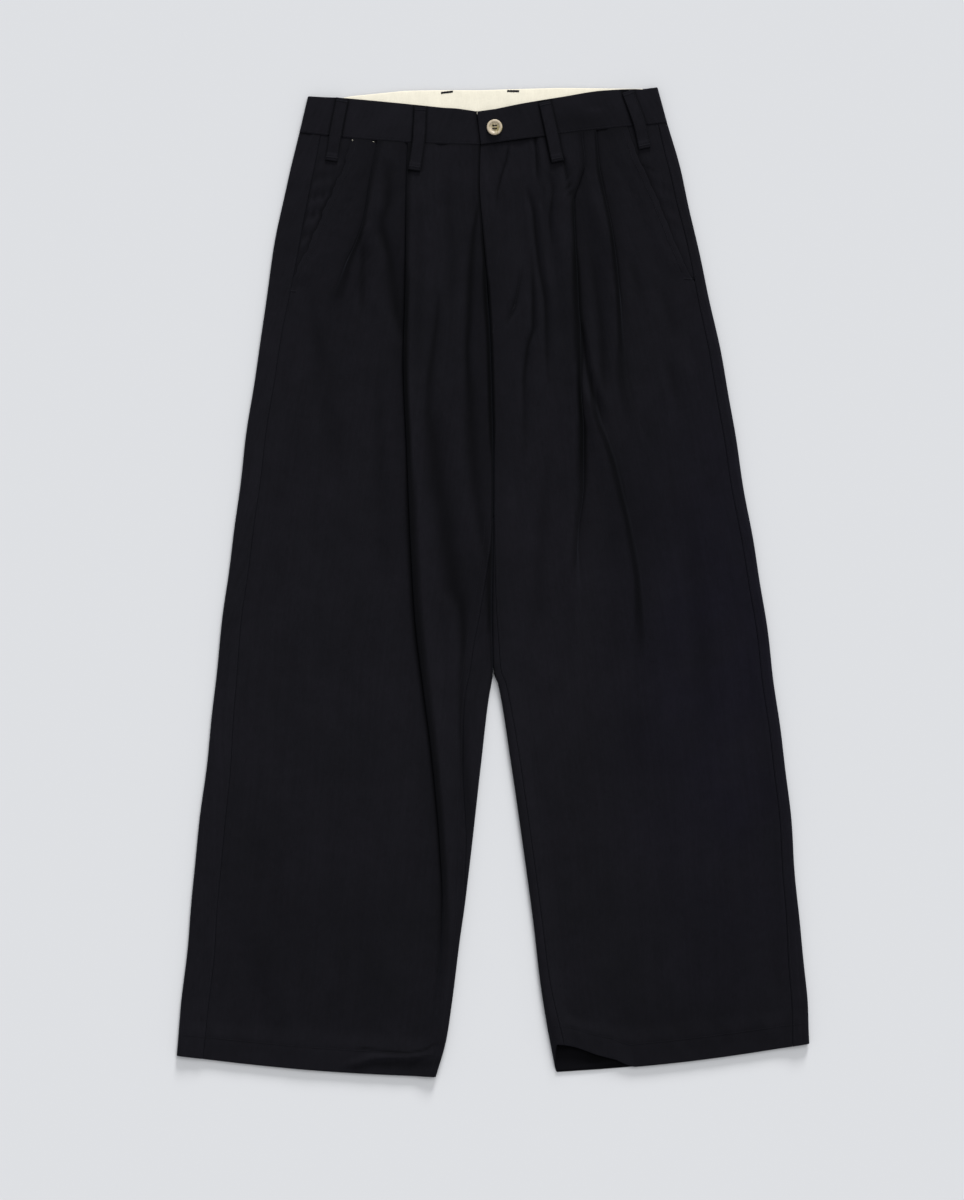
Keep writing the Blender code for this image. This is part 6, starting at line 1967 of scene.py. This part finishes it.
def make_button():
    """Top: a quarter ellipse up from the rim, then an eased dish with four eased holes."""
    u, v = disc_grid(BUTTON_GRID)
    x, y = BUTTON_RADIUS * u, BUTTON_RADIUS * v
    inset = BUTTON_RADIUS - np.hypot(x, y)
    top = BUTTON_EDGE_HIGH + (BUTTON_HEIGHT - BUTTON_EDGE_HIGH) * quarter_round(inset / BUTTON_ROUND_TOP)
    top = top - BUTTON_DISH * ease((inset - BUTTON_RIM) / BUTTON_DISH_SLOPE)
    away = np.hypot(np.abs(x) - BUTTON_HOLE_OFFSET, np.abs(y) - BUTTON_HOLE_OFFSET)
    hole = 1.0 - ease((away - BUTTON_HOLE_RADIUS + HOLE_INSET) / HOLE_SLOPE)
    low = BUTTON_EDGE_LOW * (1.0 - quarter_round(inset / BUTTON_ROUND_UNDER))
    place = np.array([BUTTON_X, BUTTON_Y, BUTTON_BASE])
    piece = wall("button_horn", xyz(x, y, top - HOLE_DEPTH * hole) + place, xyz(x, y, low) + place,
                 x, y, hole)
    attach(piece, "root")
    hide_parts("button")
    return piece


button = make_button()
print("button:", len(button.data.polygons) * 2, "triangles")

# %% [markdown]
# Horn is cloudy: pale at the rim on one side, browner towards the middle, with a
# few slow bands of growth through it. Polishing leaves a soft gloss. The holes are
# darkened with painted shade, by the same number that gives the folds theirs, which
# here says how deep the holes are.

# %% Horn
HORN_PALE = (0.520, 0.435, 0.320, 1.0)
HORN_DARK = (0.235, 0.190, 0.070, 1.0)
HORN_RING = (0.0075, 0.0025)
HORN_RING_DARK = 0.75
HORN_CLOUDS = 2.2
HORN_SIDE = 38.0
CLOUD_NOISE = (330.0, 3.0, 0.6)
GROWTH_SCALES = (420.0, 90.0)
# Painted shade in the button's holes
HOLE_SHADE = 0.93
HORN_GLOSS = (0.26, 0.46)
HORN_BUMP = (0.15, 0.0002)


def horn_material():
    """Horn, darker towards the middle and one side, with clouds and bands of growth."""
    material, make, shader = new_material("horn")
    uv = make.cloth_map()
    cloud = make.noise(uv, *CLOUD_NOISE)
    growth = make.noise(make.stretched(uv, *GROWTH_SCALES), 1.0, 2.0)
    ring = make.between(make.vector("LENGTH", uv)["Value"], 0.0, HORN_RING_DARK, *HORN_RING)
    clouds = make.times(make.less(make.plus(cloud, growth), 1.0), HORN_CLOUDS)
    side = make.times(make.parts(uv)["X"], HORN_SIDE)
    colour = make.mix(make.plus(ring, clouds, side), HORN_PALE, HORN_DARK)
    make.fill(shader, {
        "Base Color": make.shaded(colour, 1.0, HOLE_SHADE),
        "Roughness": make.between(cloud, *HORN_GLOSS),
        "Normal": make.bump(growth, *HORN_BUMP)})
    return material


give(button, horn_material())
print("button material:", button.data.materials[0].name)

# %% [markdown]
# A line of sewing is a row of short threads that lie on the cloth and dive into it
# at both ends. Each stitch is a thin six-sided tube along a low arch, and all the
# stitches of an area are one mesh, worked out at once. The thread is the cloth's own
# colour, so from afar the sewing shows only as a faint line.

# %% Stitches
STITCH_PITCH = 2.9
STITCH_LENGTH = 2.25
THREAD_RADIUS = 0.23
STITCH_SINK = 0.16
STITCH_LIFT = 0.13
STITCH_UNEVEN, STITCH_TURN = 0.12, 5.3
TACK_HEIGHT = 1.8
TACK_THREADS = 12
TACK_UNEVEN, TACK_TURN = 0.1, 7.1
UP = (0.0, 0.0, 1.0)
TUBE_SIDES = 6
TUBE_ALONG = np.array([0.0, 0.18, 0.82, 1.0])
TUBE_WIDTH = np.array([0.45, 1.0, 1.0, 0.45])


def upright(points):
    """A normal straight up at each of the given points."""
    return np.array(UP) + 0.0 * points


def unit(vectors):
    """Vectors of length one."""
    return vectors / np.maximum(np.linalg.norm(vectors, axis=-1, keepdims=True), 1e-9)


def thread_tubes(start, end, normal, radius):
    """Points and faces of one tube for each stitch.

    Its middle line is straight from start to end, lifted along the normal in the
    middle and sunk at both ends. Its cross section is a ring of six points."""
    t = TUBE_ALONG[None, :, None]
    steep = (STITCH_LIFT + STITCH_SINK) / (TUBE_ALONG[1] * (1.0 - TUBE_ALONG[1]))
    arch = np.minimum(steep * t * (1.0 - t) - STITCH_SINK, STITCH_LIFT)
    line = start[:, None] * (1.0 - t) + end[:, None] * t + normal[:, None] * arch
    sideways = unit(np.cross(unit(end - start), normal))[:, None, None]
    upward = normal[:, None, None]
    angle = 2.0 * np.pi * np.arange(TUBE_SIDES) / TUBE_SIDES
    ring = sideways * np.cos(angle)[:, None] + upward * np.sin(angle)[:, None]
    points = line[:, :, None] + radius * TUBE_WIDTH[None, :, None, None] * ring
    count = len(start)
    index = np.arange(points[..., 0].size).reshape(count, len(TUBE_ALONG), TUBE_SIDES)
    after = np.roll(index, -1, axis=2)
    sides = np.stack([index[:, :-1], after[:, :-1], after[:, 1:], index[:, 1:]], axis=-1).reshape(-1, 4)
    first, last = index[:, 0], index[:, -1]
    caps = [first[:, [3, 2, 1, 0]], first[:, [5, 4, 3, 0]], last[:, [0, 1, 2, 3]], last[:, [0, 3, 4, 5]]]
    return points.reshape(-1, 3), np.concatenate([sides, *caps])


def along_line(points, normals, places):
    """Points and normals at distances walked along a line of points."""
    walked = length_along(points, 0)
    place = [np.interp(places, walked, points[:, k]) for k in range(3)]
    normal = [np.interp(places, walked, normals[:, k]) for k in range(3)]
    return np.stack(place, axis=-1), unit(np.stack(normal, axis=-1))


def running(points, normals, pitch=STITCH_PITCH, length=STITCH_LENGTH):
    """Start, end and normal of every stitch of a running line."""
    total = float(length_along(points, 0)[-1])
    starts = np.arange(0.5 * pitch, total - length, pitch)
    uneven = STITCH_UNEVEN * np.sin(STITCH_TURN * np.arange(len(starts)))
    start, normal = along_line(points, normals, starts + uneven)
    end, _ = along_line(points, normals, starts + length + 0.5 * uneven)
    return start, end, normal


def tack(middle, along, normal, width, height, count):
    """A bar tack: tight cross stitches side by side along a short bar."""
    along, normal = unit(np.asarray(along, float)), unit(np.asarray(normal, float))
    across = np.cross(normal, along)
    places = np.linspace(-0.5, 0.5, count)[:, None] * width
    reach = 0.5 * height * (1.0 + TACK_UNEVEN * np.sin(TACK_TURN * np.arange(count)))[:, None]
    line = np.asarray(middle, float) + places * along
    slant = 0.5 * width / count * along
    return line - reach * across - slant, line + reach * across + slant, normal + 0.0 * line


def sewing(name, lines, material, radius=THREAD_RADIUS):
    """One mesh of all the stitches in the given lines."""
    start, end, normal = (np.concatenate(values) for values in zip(*lines))
    points, faces = thread_tubes(start, end, normal, radius)
    along = np.tile(np.repeat(TUBE_ALONG * STITCH_LENGTH, TUBE_SIDES), len(start))
    around = np.tile(np.arange(TUBE_SIDES) * radius, len(start) * len(TUBE_ALONG))
    piece = mesh_object(name, points, faces, np.stack([around, along], axis=-1), np.zeros(len(points)))
    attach(piece, "root")
    give(piece, material)
    print(name + ":", len(start), "stitches,", len(faces) * 2, "triangles")


# %% [markdown]
# The long lines follow the seams. Each is given as a place on every row, and the
# row tells how high the cloth is there: beside the side seam, along the inseam,
# round the pocket's mouth and along the hem.

# %% Lines on the legs
SEAM_STITCH = 1.9
INSEAM_STITCH = 1.9
INSEAM_SECOND = 8.0
MOUTH_STITCH = 6.2
LINE_ROWS = np.linspace(0.004, 0.995, 520)
HEM_POINTS = 260

# How far before its end, past its start and above its fold a line keeps, as shares
MOUTH_STOP = 0.006
INSEAM_START = 0.002
HEM_ABOVE = 0.0005


def face_points(row, s, z, heading):
    """Points on the cloth's outer face with their normals."""
    low = to_space(row, s, z, heading, HALF, 0.0)
    high = to_space(row, s, z, heading, HALF + 1.0, 0.0)
    return low, unit(high - low)


def face_line(row, s, surface):
    """Points on a face that is given as a height function."""
    return face_points(row, *laid_on(surface, s))


def side_line(side):
    """Beside the side seam, on the back panel."""
    row = leg_row(side, LINE_ROWS)
    return face_line(row, row.side_seam - 0.5 * GAP - SEAM_STITCH, lambda place: ground(row, place))


def mouth_line(side):
    """Inside the edge of the pocket's mouth."""
    row = leg_row(side, LINE_ROWS[LINE_ROWS < MOUTH_END - MOUTH_STOP])
    return face_line(row, row.start + MOUTH_STITCH, lambda place: top_height(row, place))


def inseam_line(side, inset):
    """Along the inseam on the front, where it can be seen."""
    row = leg_row(side, LINE_ROWS[LINE_ROWS > CLOSED_SHARE + INSEAM_START][:, None])
    s, z, heading = around_inner(row, front_end(row) - inset)
    points, normals = face_points(row, s, z, heading)
    return points[:, 0], normals[:, 0]


def hem_line(side):
    """Across the hem's fold, from edge to edge."""
    share = HEM_SHARE - HEM_ABOVE + np.zeros(HEM_POINTS)
    row = leg_row(side, share)
    s = np.linspace(0.0, 1.0, HEM_POINTS) * (row.inner - row.edge) + row.edge
    return face_line(row, s, lambda place: top_height(row, place))


def place_points(side, x, y):
    """Points on the front at places given as x and y."""
    row, s = locate(side, np.asarray(x, float), np.asarray(y, float))
    return face_line(row, s, lambda place: top_height(row, place))


print("places along the right inseam:", len(inseam_line("right", INSEAM_STITCH)[0]))

# %% [markdown]
# The fly's line curves from the waistband down to the crotch, and two bar tacks hold
# it. A bar tack also holds the lower end of each pocket mouth. Then all the sewing of
# a leg becomes one piece.

# %% The fly and the tacks
Place = namedtuple("Place", "x y")
FLY_LINE = table(Place, (33.5, 484), (31.6, 452), (31, 420), (30.8, 384), (30.8, 349.6), (28.1, 330.5),
                 (25.2, 316), (21.4, 303.5), (17, 296), (11.9, 290), (3, 284))
FLY_TACKS = table(Place, (24, 308.5), (0.5, 283))
FLY_TACK_WAYS = ((0.55, 0.8, 0.0), (0.1, 1.0, 0.0))
FLY_TACK_WIDTH = 8.0
FLY_POINTS = 160
POCKET_TACKS = {"right": Place(-226.0, 326.5), "left": Place(219.7, 340.0)}
POCKET_TACK_WAY, POCKET_TACK_WIDTH = (1.0, -0.1, 0.0), 10.0


def smooth_line(places, count):
    """A smooth line through places: each coordinate is a curve over the distance walked."""
    x = np.array([place.x for place in places])
    y = np.array([place.y for place in places])
    walked = np.concatenate([[0.0], np.cumsum(np.hypot(np.diff(x), np.diff(y)))])
    at = np.linspace(0.0, walked[-1], count)
    return through(walked, x, at), through(walked, y, at)


def tack_at(side, place, along, width):
    """A bar tack on the front."""
    points, normals = place_points(side, [place.x], [place.y])
    return tack(points[0], along, normals[0], width, TACK_HEIGHT, TACK_THREADS)


for leg_side in LEGS:
    lines = [running(*side_line(leg_side)), running(*mouth_line(leg_side)),
             running(*inseam_line(leg_side, INSEAM_STITCH)), running(*hem_line(leg_side)),
             tack_at(leg_side, POCKET_TACKS[leg_side], POCKET_TACK_WAY, POCKET_TACK_WIDTH)]
    if leg_side == "right":
        lines.append(running(*inseam_line(leg_side, INSEAM_SECOND)))
    else:
        lines.append(running(*place_points(leg_side, *smooth_line(FLY_LINE, FLY_POINTS))))
        lines += [tack_at(leg_side, place, way, FLY_TACK_WIDTH)
                  for place, way in zip(FLY_TACKS, FLY_TACK_WAYS)]
    sewing("stitches_leg_" + leg_side, lines, thread_cloth)

# %% [markdown]
# The band is stitched just above its seam. The belt loops have a line along each
# edge and a bar tack at both ends. The tacks of the two back loops come through
# the cream facing, where they show as short dark bars. The button's thread runs in
# two bars between its holes.

# %% Lines on the band, the loops and the facing
# Where a line starts and how far before the end it stops, on the band and on a loop
BAND_LINE_ENDS = (4.0, 2.0)
LOOP_LINE_END = 1.0
LOOP_POINTS = 90
LOOP_TACK_POINTS = (4, -4)
LOOP_LINE_SINK = 0.1


def band_stitches(side):
    """Along the bottom of the band's front half."""
    share = np.full(BAND_POINTS, BAND_START + BAND_STITCH_UP / BAND_HEIGHT)
    width = band_width(side, "front", share) - 0.5 * GAP
    start, stop = BAND_LINE_ENDS
    s = np.linspace(start, float(width[0]) - stop, len(share))
    edge = BAND_RADIUS + BAND_HALF
    waves = band_relief(s, share, LEGS[side].phase) * ease((s - edge) / BAND_CALM)
    z = BAND_FRONT_Z + lap_rise(side, s - width) + waves
    points = band_points(side, s, z, 0.0 * s, BAND_HALF, 0.0 * s, share)
    return points, upright(points)


def loop_stitches(loop):
    """Two lines along a loop, and a tack at each end."""
    y = np.linspace(loop.end_y + LOOP_LINE_END, loop.top_y - LOOP_LINE_END, LOOP_POINTS)
    x = loop_line(loop, y)
    z = loop_height(loop, y) + 0.5 * LOOP_WALL + loop_swell(loop, y) - LOOP_LINE_SINK
    tilt = np.gradient(x, y)
    lines = []
    for way in (-1.0, 1.0):
        inset = way * (0.5 * LOOP_WIDTH - LOOP_STITCH)
        points = xyz(x + inset, y - inset * tilt, z)
        lines.append(running(points, upright(points), *LOOP_PITCH))
    for k in LOOP_TACK_POINTS:
        lines.append(tack((x[k], y[k], z[k] + LOOP_LINE_SINK), (1.0, -tilt[k], 0.0), UP, *LOOP_TACK))
    return lines


# Bar tacks on the cream facing, with the slant of each, and their width, height and threads
FACING_TACKS = ((Place(-51.7, 549.7), 0.12), (Place(22.5, 551.0), -0.01))
FACING_TACK = (13.0, 2.6, 32)
FACING_TACK_LIFT = 0.15
band_lines = [running(*band_stitches(side)) for side in LEGS]
for loop in FRONT_LOOPS:
    band_lines += loop_stitches(loop)
for place, slant in FACING_TACKS:
    height = BAND_BACK_Z + BAND_HALF + GAP + CLOTH + FACING_TACK_LIFT
    band_lines.append(tack((*place, height), (1.0, slant, 0.0), UP, *FACING_TACK))
sewing("stitches_band", band_lines, thread_cloth)

# The button's thread: two bars of two threads from hole to hole
BAR_HALF, BAR_LIFT, BAR_RADIUS = 0.22, 0.25, 0.3
bar_y = (np.array([-1.0, -1.0, 1.0, 1.0]) * BUTTON_HOLE_OFFSET
         + np.array([-1.0, 1.0, -1.0, 1.0]) * BAR_HALF)
bar_z = BUTTON_BASE + BUTTON_HEIGHT - BUTTON_DISH + BAR_LIFT
bar_ends = [xyz(BUTTON_X + way * BUTTON_HOLE_OFFSET, BUTTON_Y + bar_y, bar_z) for way in (-1.0, 1.0)]
sewing("button_thread", [(*bar_ends, upright(bar_ends[0]))], thread_cloth, BAR_RADIUS)

# Pale ends of thread: at the fly's corner on the band, and two on the waist seam
ThreadEnd = namedtuple("ThreadEnd", "x y way_x way_y length")
THREAD_ENDS = table(ThreadEnd, (-18, 524.2, 0.1, 1, 2.6), (-158.5, 495.4, 1, 0.2, 1.6),
                    (-135, 494.2, 1, -0.1, 1.4))
END_RADIUS = 0.2
END_LIFT = 0.1
end_starts = np.array([place_points("right", [end.x], [end.y])[0][0] for end in THREAD_ENDS])
end_starts[0] = (THREAD_ENDS[0].x, THREAD_ENDS[0].y, BAND_TOP_Z + BAND_PITCH + END_LIFT)
end_ways = np.array([(end.way_x * end.length, end.way_y * end.length, 0.0) for end in THREAD_ENDS])
sewing("thread_ends", [(end_starts, end_starts + end_ways, upright(end_ways))], cream_cloth,
       END_RADIUS)
